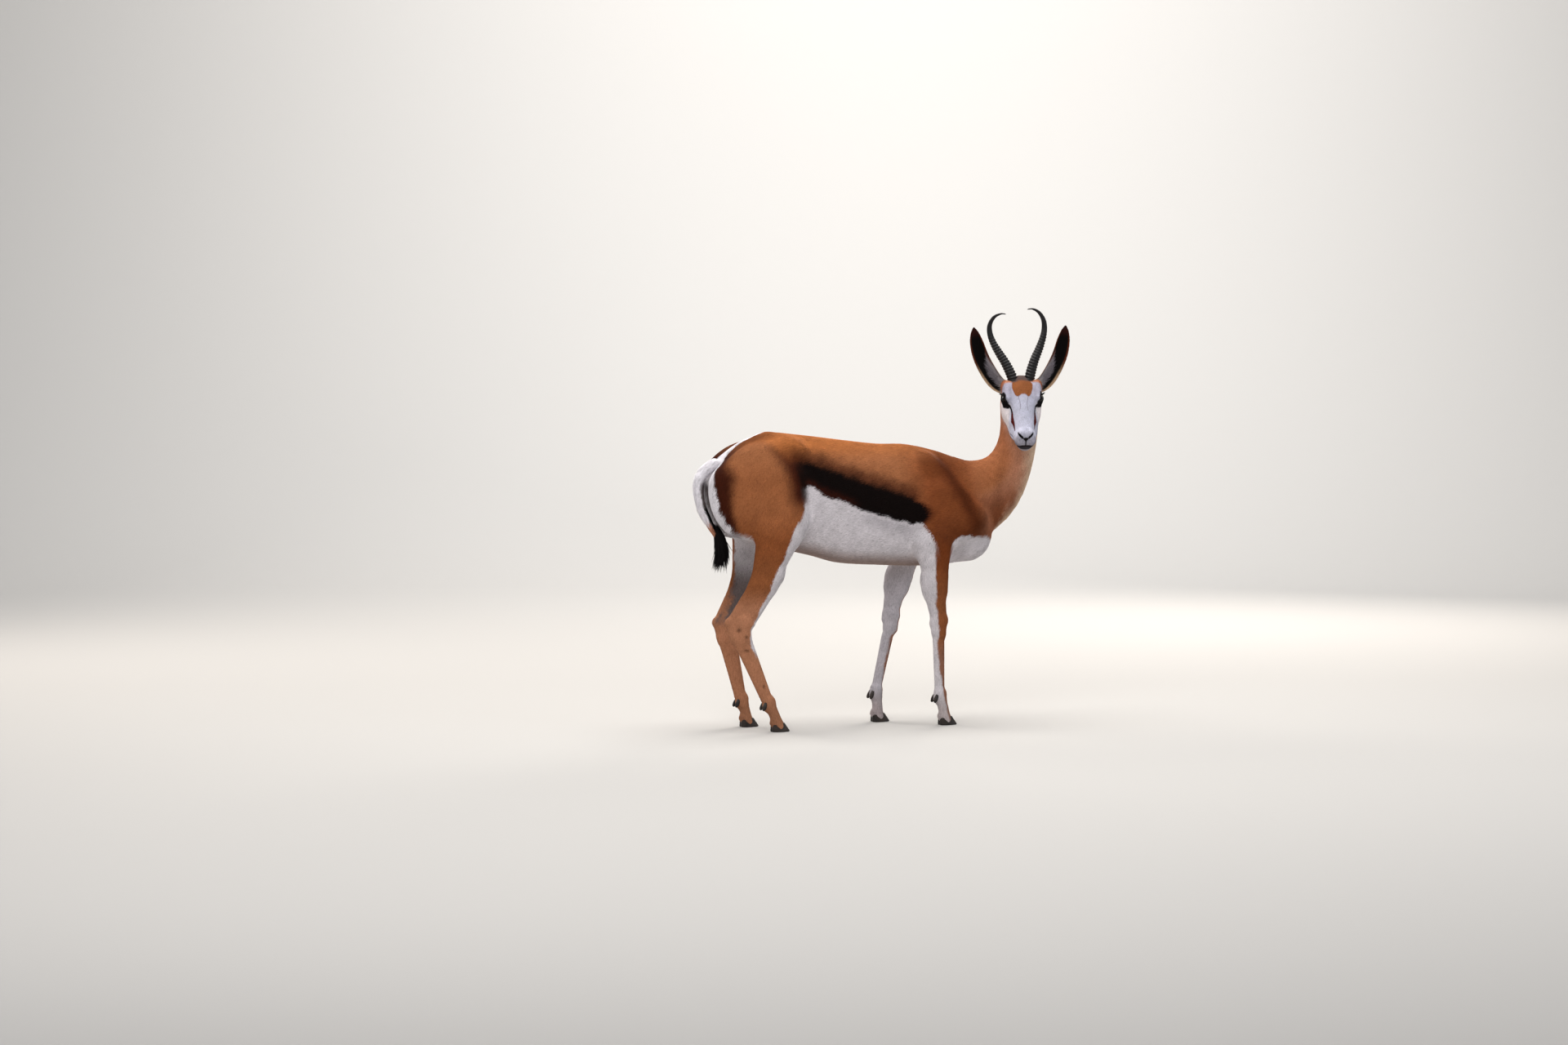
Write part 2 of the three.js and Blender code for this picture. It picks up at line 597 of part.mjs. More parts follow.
// Solids and geometries
function geometryFrom({ positions, faces }) {
  const g = new THREE.BufferGeometry();
  g.setAttribute("position", new THREE.Float32BufferAttribute(positions, 3));
  g.setIndex(faces);
  return g;
}

function solidOf(geometry) {
  const bare = geometry.clone();
  for (const name of Object.keys(bare.attributes)) if (name !== "position") bare.deleteAttribute(name);
  const merged = mergeVertices(bare, 1e-3);
  return new wasm.Manifold(new wasm.Mesh({
    numProp: 3,
    vertProperties: merged.attributes.position.array,
    triVerts: new Uint32Array(merged.index.array),
  }));
}

function geometryOf(solid) {
  const whole = solid.decompose().sort((a, b) => b.volume() - a.volume())[0];
  const { vertProperties, triVerts, numProp } = whole.getMesh();
  const positions = [];
  for (let i = 0; i < vertProperties.length; i += numProp) {
    positions.push(...vertProperties.slice(i, i + 3));
  }
  return geometryFrom({ positions, faces: Array.from(triVerts) });
}

// The half space in front of a plane, as a large block
function blockAhead(point, normal) {
  const size = 3000;
  const block = new THREE.BoxGeometry(size, size, size).translate(0, 0, size / 2);
  const turn = new THREE.Quaternion().setFromUnitVectors(
    new THREE.Vector3(0, 0, 1), new THREE.Vector3(...normal).normalize());
  return solidOf(block.applyQuaternion(turn).translate(...point));
}

// Parts a solid in two at a plane, with the gap between them: [ahead, behind]
function parted(solid, point, normal) {
  const n = new THREE.Vector3(...normal).normalize().multiplyScalar(GAP / 2).toArray();
  const ahead = blockAhead(point.map((v, i) => v + n[i]), normal);
  const behind = blockAhead(point.map((v, i) => v - n[i]), normal.map((v) => -v));
  return [solid.intersect(ahead), solid.intersect(behind)];
}

// The same surface moved out along its normals, to cut a fitted piece clear of it
function puffed(solid, out) {
  const g = geometryOf(solid);
  g.computeVertexNormals();
  const p = g.attributes.position;
  const n = g.attributes.normal;
  for (let i = 0; i < p.count; i++) {
    p.setXYZ(i, p.getX(i) + out * n.getX(i), p.getY(i) + out * n.getY(i), p.getZ(i) + out * n.getZ(i));
  }
  return solidOf(g);
}

// A closed surface through a list of rings with the same number of points; the ends are closed flat or
// to a tip
function ringed(rings, { tip = null, root = null } = {}) {
  const sides = rings[0].length;
  const positions = rings.flat(2);
  const faces = [];
  for (let r = 0; r + 1 < rings.length; r++) for (let i = 0; i < sides; i++) {
    const [a, b] = [r * sides + i, r * sides + ((i + 1) % sides)];
    faces.push(a, b, b + sides, a, b + sides, a + sides);
  }
  const centre = (ring) => [0, 1, 2].map((n) => ring.reduce((s, p) => s + p[n], 0) / sides);
  const first = positions.length / 3;
  positions.push(...(root ?? centre(rings[0])), ...(tip ?? centre(rings.at(-1))));
  const lastRing = (rings.length - 1) * sides;
  for (let i = 0; i < sides; i++) {
    const next = (i + 1) % sides;
    faces.push(first, next, i, first + 1, lastRing + i, lastRing + next);
  }
  return geometryFrom({ positions, faces });
}

// Rings of a given radius round a line of points; wide and flat scale the two ways across
function ringsAlong(points, radiusAt, sides, { side = [0, 1, 0], flat = 1, phase = 0 } = {}) {
  return points.map((p, n) => {
    const ahead = new THREE.Vector3(...points[Math.min(n + 1, points.length - 1)]);
    const before = new THREE.Vector3(...points[Math.max(n - 1, 0)]);
    const direction = ahead.sub(before).normalize();
    const across = new THREE.Vector3(...side).cross(direction).normalize();
    const sideways = direction.clone().cross(across);
    const r = radiusAt(n / (points.length - 1));
    return Array.from({ length: sides }, (_, i) => {
      const a = (2 * Math.PI * i) / sides + phase;
      return [0, 1, 2].map((k) => p[k] + r * (Math.cos(a) * across.getComponent(k)
        + flat * Math.sin(a) * sideways.getComponent(k)));
    });
  });
}

// The meshed flesh: the trunk with neck and thighs, the head, and each lower leg more finely
const trunkMesh = solidOf(geometryFrom(thinned(
  surfaceOf((x, y, z) => animal.at(x, y, z), [-520, 600], [-150, 150], [425, 960], BODY_CELL),
    BODY_TRIANGLES)));
const headMesh = solidOf(geometryFrom(thinned(
  surfaceOf((x, y, z) => animal.at(x, y, z), [370, 560], [-235, 60], [740, 1020], HEAD_CELL),
    HEAD_TRIANGLES)));

const parts = {};
const put = (name, solid) => {
  parts[name] = solid;
};

// A block through a side outline [x, z], from y0 to y1
function slab(outline, y0, y1) {
  const shape = new THREE.Shape(outline.map(([x, z]) => new THREE.Vector2(x, z)));
  const g = new THREE.ExtrudeGeometry(shape, { depth: y1 - y0, bevelEnabled: false });
  return solidOf(g.rotateX(Math.PI / 2).translate(0, y1, 0));
}

// Head, neck and torso
const HEAD_CUT = [[476, -8, 886], [-0.3, -0.7, 0.65]];
const NECK_CUT = [[330, 0, 660], [0.8, 0, 0.6]];
const [headAhead] = parted(headMesh, ...HEAD_CUT);
const [forward, rearward] = parted(trunkMesh, ...NECK_CUT);
put("neck", parted(forward, ...HEAD_CUT)[1]);

// Legs: each is cut out of the trunk by a block, and below its first joint it has a finer mesh
let torso = rearward;
for (const [side, { sign, fore, hind }] of Object.entries(LEGS)) {
  const outward = (near, far) => (sign > 0 ? [near, far] : [-far, -near]);
  const legMesh = (xs, top, triangles) => solidOf(geometryFrom(thinned(
    surfaceOf((x, y, z) => animal.at(x, y, z), xs, outward(18, 140), [-12, top], 4.2), triangles)));

  const foreTop = fore.elbow[1] + 6;
  const [foreLow, foreHigh] = [fore.carpus[0] - 90, fore.elbow[0] + 110];
  const armpit = (grow) => slab([[foreLow - 40 - grow, -40], [foreHigh + grow, -40],
    [foreHigh + grow, foreTop + grow],
    [fore.elbow[0] - 62 - grow, foreTop + grow]], ...outward(34 - grow, 160));
  torso = torso.subtract(armpit(GAP));
  const foreLeg = legMesh([foreLow, foreHigh], foreTop + 20, 720).intersect(armpit(0));
  const kneeCut = [[fore.carpus[0], 0, fore.carpus[1] - 24], [0.1, 0, 1]];
  const [forearm, foreCannon] = parted(foreLeg, ...kneeCut);
  put(`forearm_${side}`, forearm);
  put(`fore_cannon_${side}`, foreCannon);

  const [sx, sz] = hind.stifle;
  const flank = (grow) => slab([[sx + 26 + grow, 772 + grow], [sx + 52 + grow, 650],
    [sx + 84 + grow, 560], [sx + 84 + grow, -40], [-620, -40], [-620, 706 + grow],
    [-440, 716 + grow]], ...outward(30 - grow, 170));
  torso = torso.subtract(flank(GAP));
  const hindLeg = trunkMesh.intersect(flank(0));
  const shankCut = [[mix(sx, hind.hock[0], 0.2), 0, mix(sz, hind.hock[1], 0.2)], [0.42, 0, 0.9]];
  const [thigh] = parted(hindLeg, ...shankCut);
  put(`thigh_${side}`, thigh);
  const lower = legMesh([hind.hock[0] - 70, sx + 110], sz + 20, 780).intersect(flank(0));
  const [, shank] = parted(lower, ...shankCut);
  const hockCut = [[hind.hock[0], 0, hind.hock[1] - 34], [-0.3, 0, 1]];
  const [gaskin, hindCannon] = parted(shank, ...hockCut);
  put(`shank_${side}`, gaskin);
  put(`hind_cannon_${side}`, hindCannon);
  addClaws(side, sign, "fore", fore);
  addClaws(side, sign, "hind", hind);
}
put("torso", torso);

// Two claws below the coronet of each foot, and two small ones behind the fetlock
function addClaws(side, sign, end, leg) {
  const name = `${end}_cannon_${side}`;
  const [x0] = leg.toe;
  const y0 = sign * leg.spread[3];
  const coronet = [[x0 - 6, 0, 23], [-0.3, 0, 1]];
  const flesh = parted(parts[name], ...coronet)[0];
  const levels = [[0, 0.93, 0], [2.5, 1, 0], [16, 0.96, -8], [40, 0.9, -22]];
  for (const way of [-1, 1]) {
    const outline = [[-23, 2], [-19, 1.4], [-6, 1.4], [10, 1.4], [22, 1.8], [29, 4], [25, 9], [16, 13.5],
      [4, 16.5],
      [-9, 17], [-19, 14.5], [-24, 9]];
    const rings = levels.map(([z, scale, slide]) => outline.map(([x, y]) => {
      const forwards = clamp((x + 24) / 53, 0, 1);
      return [x0 + x * scale + slide * forwards, y0 + way * (1.2 + (y - 1.2) * scale), z];
    }));
    if (way < 0) for (const ring of rings) ring.reverse();
    put(`${end}_claw_${way * sign > 0 ? "outer" : "inner"}_${side}`,
      parted(solidOf(ringed(rings)), ...coronet)[1]);
    // the dewclaw
    const [fx, fz] = leg.fetlock;
    const line = [0, 1, 2, 3].map((i) => [fx - 12 - i * 3.4, y0 + way * (9.5 + i * 0.8), fz + 2 - i * 7]);
    const small = solidOf(ringed(ringsAlong(line, curve([[0, 5.4], [0.45, 6.3], [0.8, 4.8], [1, 2.4]]), 6,
      { side: [0, 1, 0] })));
    put(`${end}_dewclaw_${way * sign > 0 ? "outer" : "inner"}_${side}`,
      small.subtract(puffed(flesh, FIT_GAP)));
  }
  parts[name] = flesh;
}

// Eyes, and the sockets they sit in
let head = headAhead;
for (const [side, s] of [["left", 1], ["right", -1]]) {
  const ball = (r) => {
    const g = new THREE.SphereGeometry(r, 16, 10);
    g.rotateX(Math.PI / 2).rotateX((Math.PI / 2) * -s);
    g.translate(EYE_AT[0], s * EYE_AT[1], EYE_AT[2]);
    return solidOf(g.applyMatrix4(headFrame));
  };
  head = head.subtract(ball(EYE_RADIUS + 0.45));
  put(`eye_${side}`, ball(EYE_RADIUS));
}
put("head", head);

// Horns and ears stand in a frame of their own at the head: ahead, to the side, and straight up
const nod = radians(HEAD_NOD);
const standing = ([ahead, out, up], [u, w, v]) => fromHead([
  u + ahead * Math.cos(nod) - up * Math.sin(nod),
  w + out,
  v + ahead * Math.sin(nod) + up * Math.cos(nod),
]);

// Ringed horns, lyre-shaped, with smooth hooked tips
const HORN_RINGS = 21;
const HORN_BASE = [-47, 23, 18];
const hornLine = new THREE.CatmullRomCurve3([[16, -5, -16], [11, 3, 19], [0, 18, 59], [-10, 34, 90],
  [-18, 49, 124], [-20, 55, 151], [-17, 53, 174], [-10, 40, 195], [-2, 21, 204],
  [0, 8, 203]].map((p) => new THREE.Vector3(...p)), false, "centripetal");
const hornRadius = curve([[0, 13.4], [0.2, 12.2], [0.42, 10.4], [0.6, 8], [0.72, 6.6], [0.88, 3.9],
  [1, 1.1]]);

function horn(s, rise) {
  const rows = HORN_RINGS * 2;
  const smooth = 7;
  const ringedShare = 0.66; // of its length
  const places = [];
  for (let i = 0; i <= rows + smooth; i++) {
    places.push(i <= rows ? (ringedShare * i) / rows : mix(ringedShare, 1, (i - rows) / smooth));
  }
  const line = places.map((t) => {
    const p = hornLine.getPointAt(t);
    const lean = p.z * Math.sin(radians(HORN_LEAN));
    return standing([p.x, p.y * s - lean, p.z * rise], [HORN_BASE[0], HORN_BASE[1] * s, HORN_BASE[2]]);
  });
  const radius = (n) => {
    const row = Math.round(n * (rows + smooth));
    const t = places[row];
    const raised = row < rows ? (row % 2 ? 0.9 : -0.9) * (1.1 - 0.7 * t / ringedShare) : 0;
    return hornRadius(t) + raised;
  };
  return solidOf(ringed(ringsAlong(line, radius, 10,
    { side: fromHead([0, 1, 0]).map((v, i) => v - HEAD_AT[i]), flat: 1.12 })));
}

// Ears: long pointed leaves, each a thin cup that opens forwards
const EAR_BASE = [-46, 38, 14];
const earLine = new THREE.CatmullRomCurve3([[-10, -12, -18], [-4, 9, -10], [0, 32, 5], [0, 57, 41],
  [-2, 76, 83], [-5, 86, 121], [-6, 93, 163]].map((p) => new THREE.Vector3(...p)), false, "centripetal");
const earWide = curve([[0, 15], [0.14, 21], [0.32, 24], [0.6, 23], [0.8, 19.5], [0.93, 11.5], [1, 2.2]]);
const earDeep = curve([[0, 13], [0.2, 16], [0.45, 15], [0.7, 10], [0.9, 4.5], [1, 1.5]]);
const EAR_WALL = 2.2;

function ear(s) {
  const steps = 12;
  const across = 6;
  const rings = [];
  for (let i = 0; i <= steps; i++) {
    const t = i / steps;
    const p = earLine.getPointAt(t);
    const tangent = earLine.getTangentAt(t);
    const opening = new THREE.Vector3(0.93, 0.4 - 0.25 * t, 0.08).normalize();
    opening.addScaledVector(tangent, -opening.dot(tangent)).normalize();
    const wide = tangent.clone().cross(opening);
    const [w, d] = [earWide(t), earDeep(t)];
    const open = clamp((t - 0.1) / 0.16, 0, 1);
    const wall = Math.min(EAR_WALL, 0.6 * d);
    const at = (a, b) => {
      const q = p.clone().addScaledVector(wide, a).addScaledVector(opening, b);
      return standing([q.x, q.y * s, q.z], [EAR_BASE[0], EAR_BASE[1] * s, EAR_BASE[2]]);
    };
    const ring = [];
    for (let k = 0; k <= across; k++) {
      const a = mix(-90, 90, k / across);
      ring.push(at(w * Math.sin(radians(a)), -d * Math.cos(radians(a))));
    }
    for (let k = 0; k <= across; k++) {
      const a = mix(78, -78, k / across);
      const inside = mix(0.55 * d, -(d - wall), open);
      ring.push(at((w - wall * 0.6) * Math.sin(radians(a)),
        inside * Math.cos(radians(a)) + 0.6 * wall * (1 - open)));
    }
    rings.push(s > 0 ? ring.reverse() : ring);
  }
  return solidOf(ringed(rings));
}

const headSkin = puffed(head, FIT_GAP);
for (const [side, s] of [["left", 1], ["right", -1]]) {
  const hornSolid = horn(s, HORN_RISE[side]).subtract(headSkin);
  put(`horn_${side}`, hornSolid);
  put(`ear_${side}`, ear(s).subtract(headSkin).subtract(puffed(hornSolid, FIT_GAP)));
}

// The tail: a flat-haired stem that hangs down the rump and ends in a brush of dark locks
const tailLine = new THREE.CatmullRomCurve3([[-412, 0, 750], [-436, 0, 742], [-459, 0, 726],
  [-475, 0, 702], [-479, 0, 672],
  [-473, 0, 638], [-460, 0, 606], [-444, 0, 575], [-428, -1, 546]].map((p) => new THREE.Vector3(...p)),
    false, "centripetal");
const tailRadius = curve([[0, 17], [0.25, 17], [0.55, 14], [0.8, 11], [1, 5]]);
const LOCKS = 14;

// A flat, tapered, bending lock from a root, falling and spreading
function lock(root, direction, length, width, thick) {
  const steps = 3;
  const line = [];
  const heading = new THREE.Vector3(...direction).normalize();
  const p = new THREE.Vector3(...root);
  for (let i = 0; i <= steps; i++) {
    line.push(p.toArray());
    p.addScaledVector(heading, length / steps);
    heading.z -= 0.1;
    heading.normalize();
  }
  const radius = curve([[0, 0.55 * width], [0.3, 0.5 * width], [0.7, 0.34 * width], [1, 0.07 * width]]);
  return solidOf(ringed(ringsAlong(line, radius, 5,
    { side: [direction[1], -direction[0], 0.05], flat: thick })));
}

function tail() {
  const steps = 13;
  const line = Array.from({ length: steps + 1 }, (_, i) => tailLine.getPointAt(i / steps).toArray());
  let whole = solidOf(ringed(ringsAlong(line, tailRadius, 9, { side: [0, 1, 0], flat: 0.8 })));
  for (let i = 0; i < LOCKS; i++) {
    const a = i * 2.4;
    const start = tailLine.getPointAt(0.7 + 0.29 * (i / LOCKS)).toArray();
    const spread = [0.36 + 0.13 * Math.cos(a), 0.17 * Math.sin(a), -1];
    const root = [start[0] + 5 + 3 * Math.cos(a), start[1] + 6 * Math.sin(a), start[2]];
    whole = whole.add(lock(root, spread, 92 + 16 * Math.sin(i * 1.9), 17, 0.45));
  }
  return whole;
}
put("tail", tail().subtract(puffed(parts.torso, FIT_GAP)));

// Colours of the nodes, and the finished group, standing over its own origin
const FAWN = 0xa9713f;
const WHITE = 0xe6e0d6;
const DARK = 0x1d1512;
const colourOf = (name) => {
  if (/claw|horn|eye/.test(name)) return DARK;
  if (/head|tail/.test(name)) return WHITE;
  if (/ear_/.test(name)) return 0x4a3a30;
  return FAWN;
};
const group = new THREE.Group();
for (const [name, solid] of Object.entries(parts)) {
  const shiny = /horn|claw|eye/.test(name);
  const material = new THREE.MeshStandardMaterial({ color: colourOf(name), roughness: shiny ? 0.4 : 0.9,
    flatShading: true });
  const mesh = new THREE.Mesh(geometryOf(solid), material);
  mesh.name = name;
  group.add(mesh);
}
const box = new THREE.Box3().setFromObject(group);
const middle = box.getCenter(new THREE.Vector3());
for (const mesh of group.children) mesh.geometry.translate(-middle.x, -middle.y, -box.min.z);

export default group;
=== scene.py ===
"""A life-size springbok with its coat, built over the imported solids.

The sizes are those of the solids, in millimetres: +X towards the chest, +Y to the animal's left, +Z up.
to_row moves them into the row's frame, in metres.
"""

import math

import bpy
import numpy as np
from mathutils import Matrix, Vector


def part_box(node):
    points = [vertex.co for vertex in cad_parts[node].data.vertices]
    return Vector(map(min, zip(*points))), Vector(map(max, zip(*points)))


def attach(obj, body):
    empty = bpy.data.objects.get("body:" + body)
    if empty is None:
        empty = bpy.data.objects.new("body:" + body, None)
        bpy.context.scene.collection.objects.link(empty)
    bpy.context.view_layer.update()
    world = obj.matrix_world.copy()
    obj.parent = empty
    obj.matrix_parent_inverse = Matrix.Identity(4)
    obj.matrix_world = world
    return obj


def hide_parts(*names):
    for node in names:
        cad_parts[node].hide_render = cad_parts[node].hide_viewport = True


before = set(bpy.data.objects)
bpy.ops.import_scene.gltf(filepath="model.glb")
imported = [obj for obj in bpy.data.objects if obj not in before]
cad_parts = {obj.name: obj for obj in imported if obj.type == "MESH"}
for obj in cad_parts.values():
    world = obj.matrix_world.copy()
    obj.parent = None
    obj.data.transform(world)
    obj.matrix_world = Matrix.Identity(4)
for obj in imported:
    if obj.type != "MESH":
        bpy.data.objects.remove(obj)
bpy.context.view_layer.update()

rng = np.random.default_rng(20)

# The animal's sizes, as in the solids
SIDES = {"left": 1, "right": -1}
LEGS = {
    "right": dict(
        fore=dict(elbow=(176, 500), carpus=(211, 278), fetlock=(218, 84), toe=(238, 0),
                  spread=(84, 76, 72, 72)),
        hind=dict(stifle=(-236, 566), hock=(-384, 288), fetlock=(-296, 80), toe=(-266, 0),
                  spread=(88, 76, 72, 72))),
    "left": dict(
        fore=dict(elbow=(160, 496), carpus=(124, 284), fetlock=(78, 86), toe=(88, 0),
                  spread=(84, 72, 68, 68)),
        hind=dict(stifle=(-250, 564), hock=(-369, 277), fetlock=(-325, 76), toe=(-306, 0),
                  spread=(88, 76, 74, 74))),
}
JOINTS = {"fore": ("elbow", "carpus", "fetlock", "toe"), "hind": ("stifle", "hock", "fetlock", "toe")}
HEAD_AT = np.array([458.0, -92.0, 924.0])
HEAD_TURN, HEAD_NOD, HEAD_TILT = 107.2, 38, 1.5
EYE_AT = (4, 43, 1)
EYE_AXIS = (0.5, 0.8, 0.33)
EYE_RADIUS = 16
HORN_LEAN = 2.5
HORN_RISE = {"left": 1.02, "right": 0.96}
HORN_BASE = (-47, 23, 18)
EAR_BASE = (-46, 38, 14)

BODY_DEPTH, LEG_DEPTH, FACE_DEPTH = 2.2, 1.0, 0.7  # the skin lies this far inside the solids
BODY_STEP, FACE_STEP = 4.6, 1.6  # grid of the skin's mesh
FACE_END = 95, 165  # the face gives way to the body between these distances from the head's middle
OUTSIDE = 60  # stands for any distance far outside the forms
MARGIN = 14  # a form is felt this far beyond its own box


def smooth(x, low, high):
    t = np.clip((x - low) / (high - low), 0, 1)
    return t * t * (3 - 2 * t)


def mix(a, b, t):
    return a + (b - a) * t


def unit(v):
    v = np.asarray(v, float)
    return v / np.maximum(np.linalg.norm(v, axis=-1, keepdims=True), 1e-9)


def turn(axis, degrees):
    return np.array(Matrix.Rotation(math.radians(degrees), 3, axis))


def curve(points):
    """A smooth curve through (place, value) pairs, level with its ends beyond them."""
    place, value = np.array(points, float).T
    n = len(place)
    before, after = np.maximum(np.arange(n) - 1, 0), np.minimum(np.arange(n) + 1, n - 1)
    slope = (value[after] - value[before]) / (place[after] - place[before])

    def at(x):
        x = np.clip(x, place[0], place[-1])
        i = np.clip(np.searchsorted(place, x, side="right") - 1, 0, n - 2)
        w = place[i + 1] - place[i]
        t = (x - place[i]) / w
        t2, t3 = t * t, t * t * t
        return (value[i] * (2 * t3 - 3 * t2 + 1) + slope[i] * w * (t3 - 2 * t2 + t)
                + value[i + 1] * (3 * t2 - 2 * t3) + slope[i + 1] * w * (t3 - t2))

    return at


HEAD = turn("Z", -HEAD_TURN) @ turn("Y", HEAD_NOD) @ turn("X", HEAD_TILT)


def from_head(p):
    return np.asarray(p, float) @ HEAD.T + HEAD_AT


def to_head(p):
    return (np.asarray(p, float) - HEAD_AT) @ HEAD


def standing(p, base):
    """A point given as (ahead, out, up) in an upright frame at a place on the head."""
    p = np.asarray(p, float)
    c, s = math.cos(math.radians(HEAD_NOD)), math.sin(math.radians(HEAD_NOD))
    ahead, out, up = p[..., 0], p[..., 1], p[..., 2]
    turned = [base[0] + ahead * c - up * s, base[1] + out, base[2] + ahead * s + up * c]
    return from_head(np.stack(turned, -1))


eye_box = [np.array(v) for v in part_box("eye_right")]
SHIFT = (eye_box[0] + eye_box[1]) * 500 - from_head((EYE_AT[0], -EYE_AT[1], EYE_AT[2]))


def to_row(p):
    return (np.asarray(p, float) + SHIFT) * 0.001


# Smooth forms: signed distances, as in the solids
def limb(a, b, ra, rb, flat=1.0):
    a, b = np.array(a, float), np.array(b, float)
    d = b - a
    square = d @ d
    r = max(ra, rb)

    def at(x, y, z):
        px, py, pz = x - a[0], y - a[1], z - a[2]
        t = np.clip((px * d[0] + py * d[1] + pz * d[2]) / square, 0, 1)
        squares = (px - d[0] * t) ** 2 + ((py - d[1] * t) / flat) ** 2 + (pz - d[2] * t) ** 2
        return np.sqrt(squares) - (ra + (rb - ra) * t)

    return at, np.minimum(a, b) - r, np.maximum(a, b) + r


def mound(c, r, lean=0.0):
    c, r = np.array(c, float), np.array(r, float)
    cosine, sine = math.cos(math.radians(lean)), math.sin(math.radians(lean))

    def at(x, y, z):
        px = ((x - c[0]) * cosine + (z - c[2]) * sine) / r[0]
        pz = ((z - c[2]) * cosine - (x - c[0]) * sine) / r[2]
        py = (y - c[1]) / r[1]
        k = np.sqrt(px * px + py * py + pz * pz)
        g = np.sqrt((px / r[0]) ** 2 + (py / r[1]) ** 2 + (pz / r[2]) ** 2)
        return np.where(g < 1e-9, -r.min(), k * (k - 1) / np.maximum(g, 1e-9))

    return at, c - r.max(), c + r.max()


def lofted(ends, cap, top, bottom, half, widest, power_top, power_bottom, box):
    def at(x, y, z):
        inside = np.clip(x, ends[0], ends[1])
        over = np.abs(x - inside)
        near = np.minimum(inside - ends[0], ends[1] - inside)
        shrink = np.where(near < cap, np.sqrt(np.maximum(1 - (1 - near / cap) ** 2, 0.0025)), 1)
        middle = widest(inside)
        up = z > middle
        tall = np.where(up, top(inside) - middle, middle - bottom(inside)) * shrink
        wide = half(inside) * shrink
        power = np.where(up, power_top(inside), power_bottom)
        e = (np.abs(y / wide) ** power + np.abs((z - middle) / tall) ** power) ** (1 / power)
        return (e - 1) * np.minimum(wide, tall) + over

    return at, np.array(box[0], float), np.array(box[1], float)


def in_head(form):
    at, low, high = form
    box = [[x, y, z] for x in (low[0], high[0]) for y in (low[1], high[1]) for z in (low[2], high[2])]
    corners = from_head(box)

    def inside(x, y, z):
        x, y, z = x - HEAD_AT[0], y - HEAD_AT[1], z - HEAD_AT[2]
        u, w, v = (x * HEAD[0, i] + y * HEAD[1, i] + z * HEAD[2, i] for i in range(3))
        return at(u, w, v)

    return inside, corners.min(0), corners.max(0)


class Field:
    """Forms joined and carved smoothly, in order."""

    def __init__(self):
        self.forms = []

    def add(self, form, blend, sign=1):
        self.forms.append((form[0], form[1] - blend - MARGIN, form[2] + blend + MARGIN, blend, sign))

    def both(self, blend, kind, *data, sign=1, place=lambda form: form):
        """A form on the left and the same on the right; sign -1 carves it out."""
        for s in SIDES.values():
            middles = [(c[0], c[1] * s, c[2]) for c in data[:2 if kind is limb else 1]]
            self.add(place(kind(*middles, *data[len(middles):])), blend, sign)

    @staticmethod
    def join(value, d, blend, sign):
        value = value * sign
        h = np.maximum(blend - np.abs(value - d), 0) / blend
        return sign * (np.minimum(value, d) - h * h * blend / 4)

    def grid(self, xs, ys, zs):
        value = np.full((len(xs), len(ys), len(zs)), OUTSIDE, np.float32)
        for at, low, high, blend, sign in self.forms:
            cut = tuple(slice(*np.searchsorted(a, [l, h])) for a, l, h in zip((xs, ys, zs), low, high))
            if min(s.stop - s.start for s in cut) <= 0:
                continue
            d = at(xs[cut[0]][:, None, None], ys[cut[1]][None, :, None], zs[cut[2]][None, None, :])
            value[cut] = self.join(value[cut], d, blend, sign)
        return value

    def at(self, p):
        value = np.full(len(p), float(OUTSIDE))
        for at, low, high, blend, sign in self.forms:
            i = np.nonzero(((p > low) & (p < high)).all(1))[0]
            if len(i):
                value[i] = self.join(value[i], at(*p[i].T), blend, sign)
        return value


def trunk_forms(field):
    field.add(lofted(
        (-446, 408), 46,
        curve([(-446, 720), (-420, 747), (-390, 777), (-345, 811), (-285, 836), (-246, 835), (-200, 830),
               (-140, 823), (-40, 810), (50, 800), (130, 798), (190, 788), (250, 772), (320, 744),
               (408, 690)]),
        curve([(-446, 640), (-400, 574), (-320, 520), (-230, 500), (-150, 482), (-70, 461), (50, 452),
               (180, 446), (270, 449), (336, 464), (363, 484), (385, 498), (408, 508)]),
        curve([(-446, 38), (-400, 55), (-300, 78), (-210, 84), (-130, 95), (-40, 107), (50, 112), (130, 106),
               (200, 92), (280, 78), (350, 66), (408, 54)]),
        curve([(-446, 696), (-330, 690), (-200, 655), (-60, 615), (60, 600), (180, 606), (300, 600),
               (408, 600)]),
        curve([(-400, 2.1), (-250, 2.3), (-60, 2.1), (120, 1.75), (220, 1.65), (330, 1.9)]), 2.15,
        ((-446, -200, -200), (408, 200, 1300))), 1)
    field.both(40, mound, (-226, 58, 786), (34, 22, 24), -20)
    field.both(34, mound, (-412, 39, 688), (40, 28, 46))
    field.both(44, mound, (-196, 118, 700), (44, 26, 60), -20, sign=-1)
    field.both(30, limb, (184, 42, 740), (308, 66, 588), 28, 40, 0.85)
    field.both(34, limb, (314, 62, 576), (190, 78, 520), 42, 40, 0.8)
    field.both(36, mound, (222, 74, 606), (78, 30, 74), -38)
    field.both(30, mound, (327, 27, 528), (58, 36, 59), 36)


NECK_POINTS = np.array([(310, 0, 628), (436, 0, 636), (513, -2, 762), (473, -26, 925)], float)
NECK_PARTS = 12
NECK_DEPTH = curve([(0, 112), (0.25, 85), (0.5, 57), (0.7, 47), (0.88, 46), (1, 46)])
NECK_FLAT = curve([(0, 0.54), (0.25, 0.68), (0.5, 0.9), (0.8, 1.02), (1, 1)])


def neck_point(t):
    t = np.asarray(t, float)[..., None]
    a, b, c, d = NECK_POINTS
    return a * (1 - t) ** 3 + 3 * b * t * (1 - t) ** 2 + 3 * c * t * t * (1 - t) + d * t ** 3


